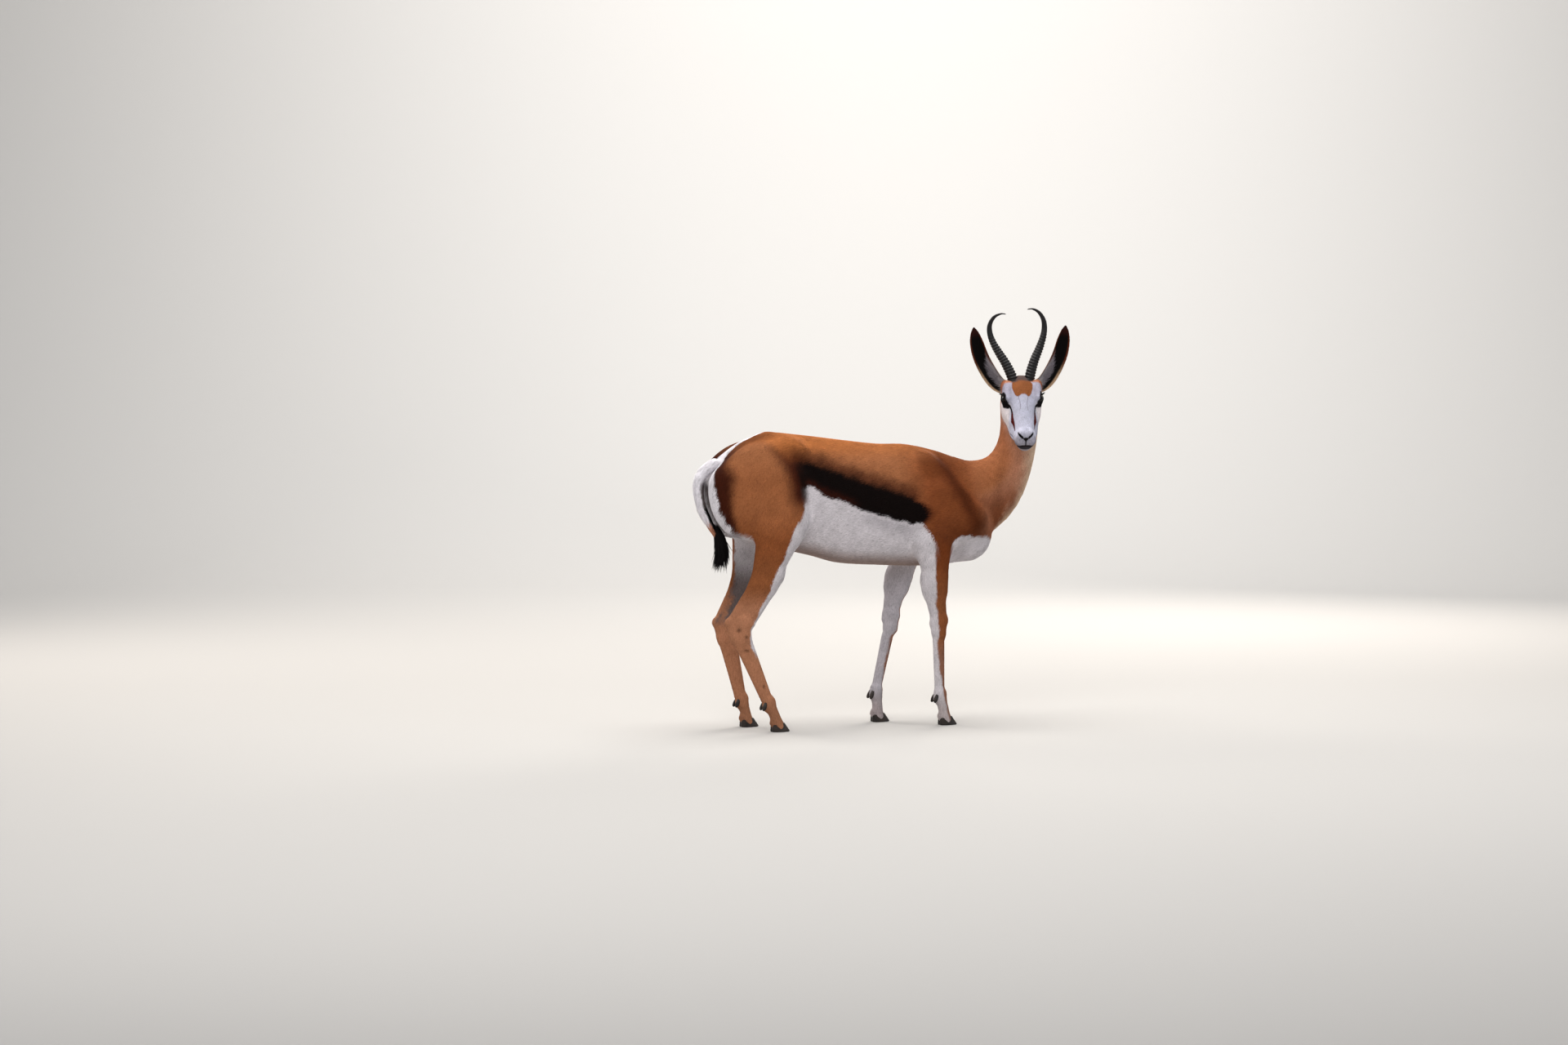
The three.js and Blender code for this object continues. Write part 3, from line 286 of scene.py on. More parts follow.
def neck_forms(field):
    for i in range(NECK_PARTS):
        t0, t1 = i / NECK_PARTS, (i + 1) / NECK_PARTS
        field.add(limb(neck_point(t0), neck_point(t1), float(NECK_DEPTH(t0)), float(NECK_DEPTH(t1)),
                       float(NECK_FLAT((t0 + t1) / 2))), 26)


def joints(side, end):
    leg = LEGS[side][end]
    return [np.array([leg[name][0], SIDES[side] * out, leg[name][1]], float)
            for name, out in zip(JOINTS[end], leg["spread"])]


# The limbs of a leg: each end is a bone, a share of its length and a step ahead and up from there; then come
# the radii of the ends, the flatness and the blend
FORE_LIMBS = [
    ((0, 0, 22, 6), (0, 0.5, 4, 0), 46, 36, 0.72, 30),
    ((0, 0.4, 2, 0), (0, 1, 0, 26), 36, 24, 0.78, 20),
    ((0, 0, -22, 22), (0, 0, 6, -30), 19, 24, 0.8, 26),
    ((0, 1, 2, 16), (0, 1, 1, -16), 24, 20, 0.9, 14),
    ((0, 1, -16, 8), (0, 1, -12, -8), 9, 7, 0.9, 14),
    ((1, 0.1, 0, 0), (1, 0.92, 0, 0), 16.5, 13, 0.86, 12),
    ((1, 0.2, -7, 0), (1, 0.92, -6, 0), 9.5, 9, 0.8, 10)]
HIND_LIMBS = [
    ((0, 0.1, -26, 0), (0, 0.54, -1, 0), 62, 37, 0.64, 26),
    ((0, 0.45, 8, 0), (0, 0.92, 12, 6), 40, 25, 0.7, 18),
    ((0, 0.42, -18, -4), (0, 1, -30, 22), 20, 10.5, 0.7, 18),
    ((0, 1, -31, 20), (0, 1, -14, -28), 12, 13, 0.85, 12),
    ((0, 1, 9, 12), (0, 1, 6, -26), 27, 24, 0.76, 14),
    ((1, 0.1, 3, 0), (1, 0.92, 0, 0), 19.5, 14.5, 0.84, 12),
    ((1, 0.1, -20, 0), (1, 0.92, -9, 0), 13.5, 11, 0.76, 12)]
FOOT_LIMBS = [
    ((2, 0, 0, 4), (2, 0, -2, -8), 17, 17.5, 0.98, 12),
    ((2, 0, 0, 0), (2, 1, -4, 22), 15.5, 15, 1.02, 10),
    ((2, 1, -12, 24), (2, 1, -2, 12), 16, 17, 1.05, 8)]


def leg_forms(field, bones, limbs):
    for start, stop, *size, blend in limbs:
        ends = [mix(bones[i], bones[i + 1], share) + (ahead, 0, up) for i, share, ahead, up in (start, stop)]
        field.add(limb(*ends, *size), blend)


def fore_forms(field, side):
    leg_forms(field, joints(side, "fore"), FORE_LIMBS + FOOT_LIMBS)


def hind_forms(field, side):
    bones = joints(side, "hind")
    stifle = bones[0]
    sign, back = SIDES[side], stifle[0] + 236
    field.add(mound((-316 + back * 0.6, 58 * sign, 666), (126, 47, 134), 14), 40)
    field.add(mound((-380 + back * 0.6, 54 * sign, 640), (76, 37, 92), 20), 34)
    field.add(limb((-262 + back * 0.5, 72 * sign, 690), stifle + (-8, 0, 14), 58, 50, 0.62), 34)
    field.add(mound(stifle + (-2, 0, 22), (48, 30, 56)), 26)
    leg_forms(field, bones, HIND_LIMBS + FOOT_LIMBS)


def head_forms(field):
    skull = lofted(
        (-76, 147), 16,
        curve([(-76, 20), (-60, 34), (-42, 43), (-15, 42), (8, 37), (34, 25), (66, 10), (98, -4), (124, -13),
               (147, -26)]),
        curve([(-76, -50), (-50, -70), (-20, -84), (20, -86), (60, -81), (96, -80), (120, -86), (136, -84),
               (147, -70)]),
        curve([(-76, 36), (-54, 46), (-20, 51), (10, 49), (34, 45), (60, 40), (90, 33), (118, 28), (136, 27),
               (147, 24)]),
        curve([(-84, -10), (-20, -16), (20, -30), (60, -48), (110, -50), (147, -46)]),
        curve([(-84, 2), (0, 2.2), (60, 1.85), (100, 2), (147, 2.2)]), 2.1, ((-76, -60, -110), (147, 60, 60)))
    field.add(in_head(skull), 22)
    both = lambda blend, kind, *data, sign=1: field.both(blend, kind, *data, sign=sign, place=in_head)
    both(18, mound, (-2, 33, -46), (54, 21, 36), 12)
    both(14, mound, (56, 25, -64), (50, 15, 22), 4)
    both(14, limb, (14, 41, -18), (66, 28, -34), 9, 8)
    both(12, mound, (5, 40, 2), (26, 18, 20), -14)
    both(14, limb, (-24, 37, 26), (19, 43, 17), 11, 6)
    both(14, mound, (-32, 47, 14), (20, 12.5, 20))
    both(16, mound, (45, 46, -10), (21, 9, 12), -24, sign=-1)
    both(10, mound, (126, 16.5, -46), (25, 15.5, 17.5), -8)
    both(8, mound, (131, 12, -25), (16, 11, 12), -30)
    field.add(in_head(limb((112, 0, -71), (130, 0, -69), 15, 13)), 10)
    # the eye's swelling and socket, the nostril, the cleft of the lip and the mouth
    socket = [c + 16 * way for c, way in zip(EYE_AT, EYE_AXIS)]
    both(5, mound, EYE_AT, (EYE_RADIUS + 3.6, EYE_RADIUS + 2.8, EYE_RADIUS + 2.4), 10)
    both(1.5, mound, socket, (17, 13, 11.5), 14, sign=-1)
    both(2, limb, (136, 21, -16), (146, 15, -26), 1.6, 3.2, sign=-1)
    both(2, limb, (146, 15, -26), (152, 6, -35), 3.2, 2, sign=-1)
    field.add(in_head(limb((153, 0, -38), (151, 0, -54), 1.8, 1.8)), 2, -1)
    mouth = [(147, 0, -57.5), (143, 15, -58), (131, 26, -59), (112, 31, -60), (90, 33, -58)]
    for a, b in zip(mouth, mouth[1:]):
        both(1.6, limb, a, b, 2.6, 2.4, sign=-1)


animal = Field()
groups = {}  # each region's own forms, for the lie of the coat and its markings


def region(name, make, *args):
    make(animal, *args)
    groups[name] = Field()
    make(groups[name], *args)


region("trunk", trunk_forms)
region("neck", neck_forms)
for side in LEGS:
    region("fore_" + side, fore_forms, side)
    region("hind_" + side, hind_forms, side)
region("head", head_forms)
REGIONS = list(groups)


def depth_at(x, y, z):
    """How far the skin lies inside the solids: least on the face and the lower legs."""
    away = np.sqrt((x - HEAD_AT[0]) ** 2 + (y - HEAD_AT[1]) ** 2 + (z - HEAD_AT[2]) ** 2)
    body = mix(FACE_DEPTH, BODY_DEPTH, smooth(away, *FACE_END))
    return LEG_DEPTH + (body - LEG_DEPTH) * smooth(z, 250, 470)


def skin_at(p):
    return animal.at(p) + depth_at(*p.T)


PROBE = 0.35
TETRA = np.array([(1, 1, 1), (1, -1, -1), (-1, 1, -1), (-1, -1, 1)]) * PROBE


def value_and_slope(p):
    f = np.stack([skin_at(p + t) for t in TETRA])
    return f.mean(0), (f.T @ TETRA) * (0.75 / PROBE ** 2) / 3


def settle(p, rounds):
    """Moves points onto the skin's surface."""
    for _ in range(rounds):
        f, g = value_and_slope(p)
        p = p - g * (f / np.maximum((g * g).sum(1), 1e-6)).clip(-6, 6)[:, None]
    return p


def normals_at(p):
    return unit(value_and_slope(p)[1])


# Meshing
def graded(spans):
    """Grid places through (from, to, step) spans."""
    places = [np.linspace(a, b, max(2, round((b - a) / step)), endpoint=False) for a, b, step in spans]
    return np.concatenate(places + [[spans[-1][1]]])


def surface_nets(value, xs, ys, zs):
    """A closed quad mesh of the places where value changes sign."""
    inside = value < 0
    corners = [(i, j, k) for i in (0, 1) for j in (0, 1) for k in (0, 1)]
    shape = tuple(n - 1 for n in value.shape)
    pick = lambda a, c: a[c[0]:c[0] + shape[0], c[1]:c[1] + shape[1], c[2]:c[2] + shape[2]]
    count = sum(pick(inside, c).astype(np.uint8) for c in corners)
    active = (count > 0) & (count < 8)
    index = np.full(shape, -1, np.int32)
    index[active] = np.arange(active.sum())
    cells = np.argwhere(active)
    at = np.stack([value[tuple((cells + c).T)] for c in corners], 1)
    place = lambda c: np.stack([a[cells[:, n] + c[n]] for n, a in enumerate((xs, ys, zs))], 1)
    places = np.stack([place(c) for c in corners], 1)
    total = np.zeros((len(cells), 3))
    crossings = np.zeros(len(cells))
    for a in range(8):
        for bit in (1, 2, 4):
            b = a | bit
            if a == b:
                continue
            cross = (at[:, a] < 0) != (at[:, b] < 0)
            t = at[cross, a] / (at[cross, a] - at[cross, b])
            total[cross] += mix(places[cross, a], places[cross, b], t[:, None])
            crossings[cross] += 1
    points = total / crossings[:, None]
    quads = []
    steps = np.eye(3, dtype=int)
    for axis in range(3):
        low = inside[tuple(slice(0, -1) if n == axis else slice(1, -1) for n in range(3))]
        high = inside[tuple(slice(1, None) if n == axis else slice(1, -1) for n in range(3))]
        edges = np.argwhere(low != high) + (1 - steps[axis])
        out = inside[tuple(edges.T)]
        b, c = steps[(axis + 1) % 3], steps[(axis + 2) % 3]
        ring = [index[tuple((edges + d).T)] for d in (-b - c, -c, 0 * b, -b)]
        quad = np.stack(ring, 1)
        quad[~out] = quad[~out][:, ::-1]
        quads.append(quad)
    return points, np.concatenate(quads)


def relaxed(points, quads, weight=0.5):
    """Each point moved towards the middle of its neighbours."""
    edges = np.concatenate([quads[:, [i, (i + 1) % 4]] for i in range(4)])
    total = np.zeros_like(points)
    count = np.zeros(len(points))
    for i, j in ((0, 1), (1, 0)):
        np.add.at(total, edges[:, i], points[edges[:, j]])
        np.add.at(count, edges[:, i], 1)
    return mix(points, total / np.maximum(count, 1)[:, None], weight)


def new_mesh(name, points, *blocks):
    """A smooth mesh from row-frame points and blocks of faces, alike within a block."""
    blocks = [np.asarray(block, np.int32) for block in blocks]
    loops = np.concatenate([block.ravel() for block in blocks])
    corners = np.concatenate([np.full(len(block), block.shape[1], np.int32) for block in blocks])
    mesh = bpy.data.meshes.new(name)
    mesh.vertices.add(len(points))
    mesh.vertices.foreach_set("co", np.asarray(points, np.float32).ravel())
    mesh.loops.add(len(loops))
    mesh.loops.foreach_set("vertex_index", loops)
    mesh.polygons.add(len(corners))
    mesh.polygons.foreach_set("loop_start", np.cumsum(corners, dtype=np.int32) - corners)
    mesh.polygons.foreach_set("use_smooth", np.ones(len(corners), bool))
    mesh.update(calc_edges=True)
    return placed(name, mesh)


def placed(name, data):
    made = bpy.data.objects.new(name, data)
    bpy.context.scene.collection.objects.link(made)
    return made


def set_colours(piece, colours):
    layer = piece.data.attributes.new("Coat", "FLOAT_COLOR", "POINT")
    rgba = np.concatenate([colours, np.ones((len(colours), 1))], 1).astype(np.float32)
    layer.data.foreach_set("color", rgba.ravel())


def set_lie(piece, ways):
    layer = piece.data.attributes.new("Lie", "FLOAT_VECTOR", "POINT")
    layer.data.foreach_set("vector", np.asarray(ways, np.float32).ravel())


def with_middles(rings):
    """The points or colours of a lofted piece's rings, with the means of its first and last ring."""
    return np.concatenate([rings.reshape(-1, 3), rings[0].mean(0)[None], rings[-1].mean(0)[None]])


def with_ends(values):
    """Values of a lofted piece's points, with those of its two end points."""
    return np.concatenate([values, values[:1], values[-1:]])


# Where a point is on the animal
def along_line(p, line):
    """The share of a line's length nearest to each point, its place there and its direction."""
    parts = np.linalg.norm(np.diff(line, axis=0), axis=1)
    start = np.concatenate([[0], np.cumsum(parts)])
    best = np.full(len(p), 1e9)
    share, near, heading = np.zeros(len(p)), np.zeros((len(p), 3)), np.zeros((len(p), 3))
    for i, (a, b) in enumerate(zip(line, line[1:])):
        d = (b - a) / parts[i]
        t = np.clip((p - a) @ d, 0, parts[i])
        q = a + t[:, None] * d
        far = np.linalg.norm(p - q, axis=1)
        closer = far < best
        best[closer] = far[closer]
        share[closer] = ((start[i] + t) / start[-1])[closer]
        near[closer] = q[closer]
        heading[closer] = d
    return share, near, heading


AXES = {
    "trunk": np.array([(408, 0, 600), (180, 0, 620), (-60, 0, 640), (-330, 0, 690), (-446, 0, 690)], float),
    "neck": neck_point(np.linspace(1, 0.12, 12)),
    "head": from_head([(147, 0, -45), (60, 0, -35), (-10, 0, -20), (-76, 0, -10)]),
}
for side in LEGS:
    for end, above in (("fore", (-10, 0, 60)), ("hind", (-60, 0, 130))):
        bones = joints(side, end)
        AXES[f"{end}_{side}"] = np.array([bones[0] + above] + bones)


def nearness(p):
    """How far each region's own forms are from each point."""
    return {name: groups[name].at(p) for name in REGIONS}


def lie_of(p, n, far):
    """The way that the hair points: nose to rump, down the legs and down the neck."""
    total = np.zeros_like(p)
    for name in REGIONS:
        weight = np.exp(-np.maximum(far[name], 0) / (9 if name == "head" else 16))[:, None]
        _, _, heading = along_line(p, AXES[name])
        way = heading
        if name == "trunk":
            way = np.tile([-1.0, 0, -0.28], (len(p), 1))
            way[:, 2] -= 0.5 * smooth(p[:, 0], 230, 400)
            way[:, 2] -= 1.6 * smooth(-p[:, 0], 330, 470)
        if name.startswith("hind"):
            way = mix(heading, np.array([-0.55, 0, -0.85]), smooth(p[:, 2], 470, 640)[:, None])
        if name == "neck":
            way = mix(heading, np.array([-0.5, 0, -0.85]), smooth(-p[:, 2], -760, -640)[:, None])
        total += weight * unit(way)
    total -= n * (total * n).sum(1)[:, None]
    return unit(total)


def place_on(p, far):
    """Which region a point is in, how far along it and how far round it."""
    table = np.stack([far[name] for name in REGIONS])
    which = table.argmin(0)
    share, angle = np.zeros(len(p)), np.zeros(len(p))
    for i, name in enumerate(REGIONS):
        m = which == i
        if not m.any():
            continue
        s, near, heading = along_line(p[m], AXES[name])
        side = HEAD[:, 1] if name == "head" else np.array([0, 1.0, 0])
        side = unit(side - heading * (heading @ side)[:, None])
        up = np.cross(heading, side)
        d = p[m] - near
        share[m] = s
        angle[m] = np.arctan2((d * up).sum(1), (d * side).sum(1)) / (2 * math.pi) + 0.5
    return which, share, angle


# Charts of the skin's own unwrap: along each region one way, round it the other
CHARTS = {"trunk": (0.02, 0.02, 0.5, 0.46), "neck": (0.54, 0.02, 0.2, 0.3), "head": (0.76, 0.02, 0.22, 0.4),
          "fore_right": (0.02, 0.52, 0.1, 0.46), "fore_left": (0.14, 0.52, 0.1, 0.46),
          "hind_right": (0.26, 0.52, 0.13, 0.46), "hind_left": (0.41, 0.52, 0.13, 0.46),
          "ear_right": (0.56, 0.52, 0.1, 0.2), "ear_left": (0.68, 0.52, 0.1, 0.2),
          "tail": (0.56, 0.76, 0.2, 0.2)}


def chart_place(name, share, angle):
    x, y, w, h = CHARTS[name]
    if w > h:
        share, angle = angle, share
    return np.stack([x + w * angle, y + h * share], -1)


# The coat's colours
def rgb(*c):
    """A colour given as it looks on a screen, as the shader wants it."""
    c = np.array(c, float) / 255
    return np.where(c < 0.04045, c / 12.92, ((c + 0.055) / 1.055) ** 2.4)


LIT_BACK_TOP = rgb(168, 100, 52)
BACK = rgb(158, 100, 64)
CINNAMON = rgb(122, 62, 26)
THIGH = rgb(158, 97, 60)
SHOULDER = rgb(116, 58, 26)
HOLLOW = rgb(72, 30, 8)
FAWN = rgb(176, 120, 92)
NECK_BACK = rgb(158, 96, 60)
BAND = rgb(9, 2, 1)
BAND_BROWN = rgb(52, 16, 5)
BORDER = rgb(50, 10, 2)
WHITE = rgb(206, 200, 204)
CREAM = rgb(214, 186, 160)
LEG_BROWN = rgb(138, 82, 48)
SHANK = rgb(172, 118, 88)
PINKISH = rgb(140, 96, 76)
PATCH = rgb(134, 80, 46)
TEMPLE = rgb(150, 92, 66)
SOOT = rgb(18, 14, 15)
BLACK = rgb(8, 6, 7)
MAROON = rgb(74, 14, 12)
GREY_HAIR = rgb(72, 62, 62)
MUZZLE_GREY = rgb(142, 138, 148)
SHADED_FACE_WHITE = rgb(182, 182, 198)
CHEEK = rgb(222, 214, 216)
RUMP_WHITE = rgb(236, 232, 238)
UNDER_TAIL_SKIN_AND_SHADE = rgb(74, 60, 58)
TAIL_BROWN = rgb(168, 98, 52)
BRUSH_BLACK = rgb(9, 7, 8)

WAVES = [(unit(rng.normal(size=3)), 2 * math.pi / length, rng.uniform(0, 6.3), length)
         for length in np.geomspace(6, 90, 22)]


def ripple(p, low, high):
    """Smooth noise about zero, of waves between two lengths in millimetres."""
    chosen = [w for w in WAVES if low <= w[3] <= high]
    total = sum(np.sin((p @ d) * k + phase) for d, k, phase, _ in chosen)
    return total / math.sqrt(max(len(chosen), 1))


# Edges of the markings: heights by the place along X, or places along X by the height
band_top = curve([(-230, 752), (-213, 756), (-187, 757), (-118, 740), (-48, 713), (22, 691), (92, 669),
                  (154, 642), (172, 626)])
BAND_LOW = [(-230, 690), (-197, 681), (-169, 683), (-135, 659), (-83, 642), (-13, 612), (57, 591), (119, 577)]
band_low = curve(BAND_LOW + [(172, 578)])
white_top = curve(BAND_LOW + [(156, 573), (180, 536), (196, 500), (208, 455), (226, 452), (234, 480),
                              (241, 515), (262, 533), (304, 536), (346, 533), (385, 531), (420, 526)])
rump_edge = curve([(500, -352), (520, -368), (551, -397), (598, -432), (643, -449), (697, -457), (735, -460),
                   (790, -458)])
belly_line = curve([(-200, 492), (-150, 482), (-70, 461), (50, 452), (180, 446), (270, 449), (400, 500)])
croup_half = curve([(690, 76), (720, 50), (746, 33), (775, 18), (800, 12), (818, 9), (836, 6)])
croup_middle = curve([(735, 0), (750, 8), (775, 17), (800, 17), (818, 11), (836, 6)])
border_width = curve([(520, 16), (600, 36), (700, 62), (750, 62), (775, 74), (836, 66)])
flank_edge = curve([(218, -345), (241, -356), (266, -360), (295, -352), (340, -332), (384, -309), (425, -296),
                    (492, -265), (560, -240), (622, -207), (680, -196)])
thigh_front = curve([(600, -196), (650, -200), (700, -206), (750, -224), (800, -250)])
stripe_edge = curve([(60, 8), (115, 5), (160, -2), (207, -5), (274, -4), (315, -2), (348, -3), (398, 0),
                     (447, 6), (497, 12), (530, 10)])
throat_half = curve([(0.05, 12), (0.15, 24), (0.25, 34), (0.42, 41), (0.6, 44), (1, 45)])


def layered(colour, *layers):
    """Colours laid in turn over a first one, each by an amount from 0 to 1 at every point."""
    for top, amount in layers:
        colour = mix(colour, top, np.clip(amount, 0, 1)[:, None])
    return colour


def from_line(x, z, a, b):
    """How far points are from a line between two places in the side view."""
    dx, dz = b[0] - a[0], b[1] - a[1]
    t = np.clip(((x - a[0]) * dx + (z - a[1]) * dz) / (dx * dx + dz * dz), 0, 1)
    return np.hypot(x - a[0] - dx * t, z - a[1] - dz * t)


def hollow_shade(x, z):
    """The shaded hollow between the shoulder and the neck's base."""
    return 0.8 * np.exp(-(from_line(x, z, (232, 742), (322, 572)) / 25) ** 2)


def trunk_colour(p, jitter):
    x, _, z = p.T
    edge = z + jitter
    # the dark band along the flank, soft above and crisp below, rounded at its front end
    front = 172 - 26 * np.minimum(((z - 602) / 30) ** 2, 1.5)
    ends = smooth(front - x - jitter, -8, 8) * smooth(x + 228, -12, 12)
    shadow = smooth(band_top(x) + 22 - edge, -26, 22) * smooth(front + 12 - x, -16, 16)
    shadow = shadow * smooth(x + 232, -14, 14)
    brown = np.exp(-((edge - band_low(x) - 9) / 11) ** 2) * smooth(-x, 20, 90)
    # painted shade along the underside of the belly, with the warm tint of light bounced from the ground
    low = belly_line(x) - z
    belly_shade = smooth(low, -52, -6) * smooth(-z, -560, -520) * smooth(250 - x, 0, 60)
    white = white_top(x)
    speckled = smooth(white - z, 0, 14) * smooth(z - white, -60, -12) * smooth(-np.abs(x - 60), -110, -30)
    return layered(
        BACK,
        # painted light: the top of the back is lighter, where the light from above falls on it
        (LIT_BACK_TOP, 0.85 * smooth(z, 745, 806)),
        (CINNAMON, 0.75 * smooth(-x, 150, 240) * smooth(-z, -815, -750)),
        (SHOULDER, 0.85 * smooth(x, 70, 190) * smooth(-z, -818, -730)),
        (HOLLOW, 0.55 * smooth(x, 150, 210) * smooth(-z, -600, -540)),
        (FAWN, 0.5 * smooth(x, 310, 390)),
        (HOLLOW, hollow_shade(x, z)),
        (BORDER, 0.75 * shadow),
        (BAND, smooth(band_top(x) - 5 - edge, -12, 14) * ends),
        (BAND_BROWN, 0.8 * brown * smooth(x + 220, 0, 30)),
        (WHITE, smooth(white - edge, -2.5, 2.5)),
        (rgb(128, 98, 80), 0.75 * belly_shade),
        (rgb(140, 134, 140), 0.4 * speckled))


def rump_near(p, jitter=0.0):
    """How far inside the edge of the rump's white patch points are, in millimetres."""
    x, y, z = p.T
    out = np.abs(y)
    inward = 0.10 * np.maximum(out - 50, 0) + 0.9 * np.maximum(64 - out, 0) * smooth(z, 505, 590)
    behind = rump_edge(z) + inward - x + jitter
    inside = croup_half(z) - np.abs(y - croup_middle(z)) + 0.4 * jitter + 60 * smooth(-x, 150, 300) - 60
    return mix(behind, inside, smooth(z, 690, 722))


def rump_colour(p, colour, jitter):
    """The white patch of the rump with its dark border, drawn out to a line along the croup."""
    x, y, z = p.T
    near = rump_near(p, jitter)
    border = smooth(near / border_width(z), -1.05, -0.42) * smooth(z, 515, 585) * smooth(-x, 210, 330)
    border *= 1 - smooth(x - rump_edge(z), 44, 84) * smooth(z, 690, 705) * smooth(765 - z, 0, 20)
    return layered(
        colour,
        (BORDER, (0.95 - 0.3 * smooth(z, 760, 800)) * border),
        (RUMP_WHITE, smooth(near, -2.5, 3.5) * smooth(z, 480, 520) * smooth(-x, 270, 300)),
        # partly the dark skin under the tail, partly painted shade between the tail and the buttocks
        (UNDER_TAIL_SKIN_AND_SHADE, 0.9 * smooth(22 - np.abs(y), -6, 8) * smooth(-x, 340, 380) * smooth(715 - z, 0, 30)))


# Small dark marks on the outside of the hock: place ahead and up, half width and half height
HOCK_MARKS = [(-391, 290, 6, 6), (-371, 271, 6, 4), (-369, 232, 10, 4), (-317, 130, 4, 6)]


def hind_colour(p, side, jitter):
    sign, leg = SIDES[side], LEGS[side]["hind"]
    _, near, _ = along_line(p, AXES["hind_" + side])
    out = (p[:, 1] - near[:, 1]) * sign
    # places as on the right leg
    lower = smooth(-p[:, 2], -420, -300)
    x = p[:, 0] - (leg["hock"][0] + 384) * lower - (leg["stifle"][0] + 236) * (1 - lower)
    z = p[:, 2] + 10 * (sign > 0) * lower
    # the shadowed front of the thigh, where the band of the flank meets it
    ahead = x - thigh_front(z)
    dark = smooth(ahead, -72, -14) * smooth(z, 590, 660) * smooth(-z, -845, -770)
    marks = sum(np.exp(-(((x - mx) / wide) ** 2 + ((z - mz) / tall) ** 2) ** 1.5)
                for mx, mz, wide, tall in HOCK_MARKS)
    white = smooth(x - flank_edge(z) + jitter, -2.5, 3) * smooth(z, 205, 235) * smooth(652 - z, 0, 26)
    shaded = 0.9 * smooth(-z, -520, -400) * smooth(near[:, 0] + 14 - p[:, 0], -12, 12)
    inner = smooth(-out - 8 + jitter, -4, 6) * smooth(z, 292, 326) * smooth(640 - z, 0, 40)
    return layered(
        THIGH,
        (BACK, smooth(z, 700, 780)),
        (CINNAMON, 0.6 * smooth(-z, -640, -520) * smooth(z, 380, 470)),
        (LEG_BROWN, smooth(-z, -540, -420)),
        (SHANK, smooth(-z, -420, -330)),
        (BORDER, 0.95 * dark),
        (BAND, 0.9 * smooth(ahead, -20, 4) * smooth(z, 625, 680) * smooth(-z, -775, -715)),
        (rgb(58, 34, 24), 0.7 * marks * smooth(out, 4, 12)),
        (WHITE, white),
        (layered(WHITE, (rgb(66, 50, 44), shaded)), inner),
        (rgb(120, 84, 62), 0.4 * smooth(-z, -110, -40)))


def fore_colour(p, side, jitter):
    _, near, _ = along_line(p, AXES["fore_" + side])
    out = (p[:, 1] - near[:, 1]) * SIDES[side]
    z = p[:, 2]
    stripe = p[:, 0] - near[:, 0] - stripe_edge(z) + 0.5 * np.minimum(out, 6) + 0.5 * jitter
    brown = layered(SHOULDER, (LEG_BROWN, smooth(-z, -500, -330)), (PINKISH, smooth(-z, -270, -190)))
    return layered(
        WHITE,
        # painted shade: the lower far (left) foreleg greyer and darker than the near one
        (rgb(150, 144, 152), 0.5 * (side == "left") * smooth(-z, -470, -380)),
        (brown, smooth(stripe, -2.5, 3.5) * smooth(out + 13 + 0.5 * jitter, -4, 5)),
        (rgb(140, 118, 108), 0.5 * smooth(-z, -110, -30)))


def neck_colour(p, jitter):
    x, _, z = p.T
    share, near, heading = along_line(p, neck_point(np.linspace(0, 1, 15)))
    turned = np.radians(-72 * smooth(share, 0.5, 0.95))
    ahead = np.stack([np.cos(turned), np.sin(turned), 0 * turned], 1)
    ahead = unit(ahead - heading * (ahead * heading).sum(1)[:, None])
    across = np.cross(heading, ahead)
    front = ((p - near) * ahead).sum(1)
    side = np.abs(((p - near) * across).sum(1))
    return layered(
        FAWN,
        (SHOULDER, 0.85 * smooth(-z, -720, -590)),
        (BACK, smooth(-front, -5, 40) * smooth(-share, -0.75, -0.3)),
        (NECK_BACK, 0.8 * smooth(-front, 10, 45)),
        (HOLLOW, hollow_shade(x, z)),
        (HOLLOW, 0.22 * np.exp(-(from_line(x, z, (404, 700), (396, 588)) / 18) ** 2)),
        (CREAM, 0.9 * smooth(throat_half(share) - side + jitter, -22, 12) * smooth(front, -6, 20)),
        (WHITE, smooth(white_top(x) - z - jitter, -2.5, 2.5) * smooth(540 - z, -2, 4)))


stripe_mid = curve([(14, -2), (24, -5), (36, -9), (57, -17), (78, -25), (96, -31), (106, -34)])
stripe_half = curve([(10, 5), (24, 4.4), (40, 3.6), (66, 5.6), (88, 4.6), (105, 0.8)])
SLIT = np.array([(128, 22, -20), (136, 19.5, -21), (142, 14, -24), (148, 6, -29.5), (149, 0, -31)], float)


def about_eye(h):
    """Points of the head's left side against the eye: how far ahead along its axis, and the way off it."""
    axis = unit(EYE_AXIS)
    ahead = (h - EYE_AT) @ axis
    return ahead, h - EYE_AT - ahead[:, None] * axis


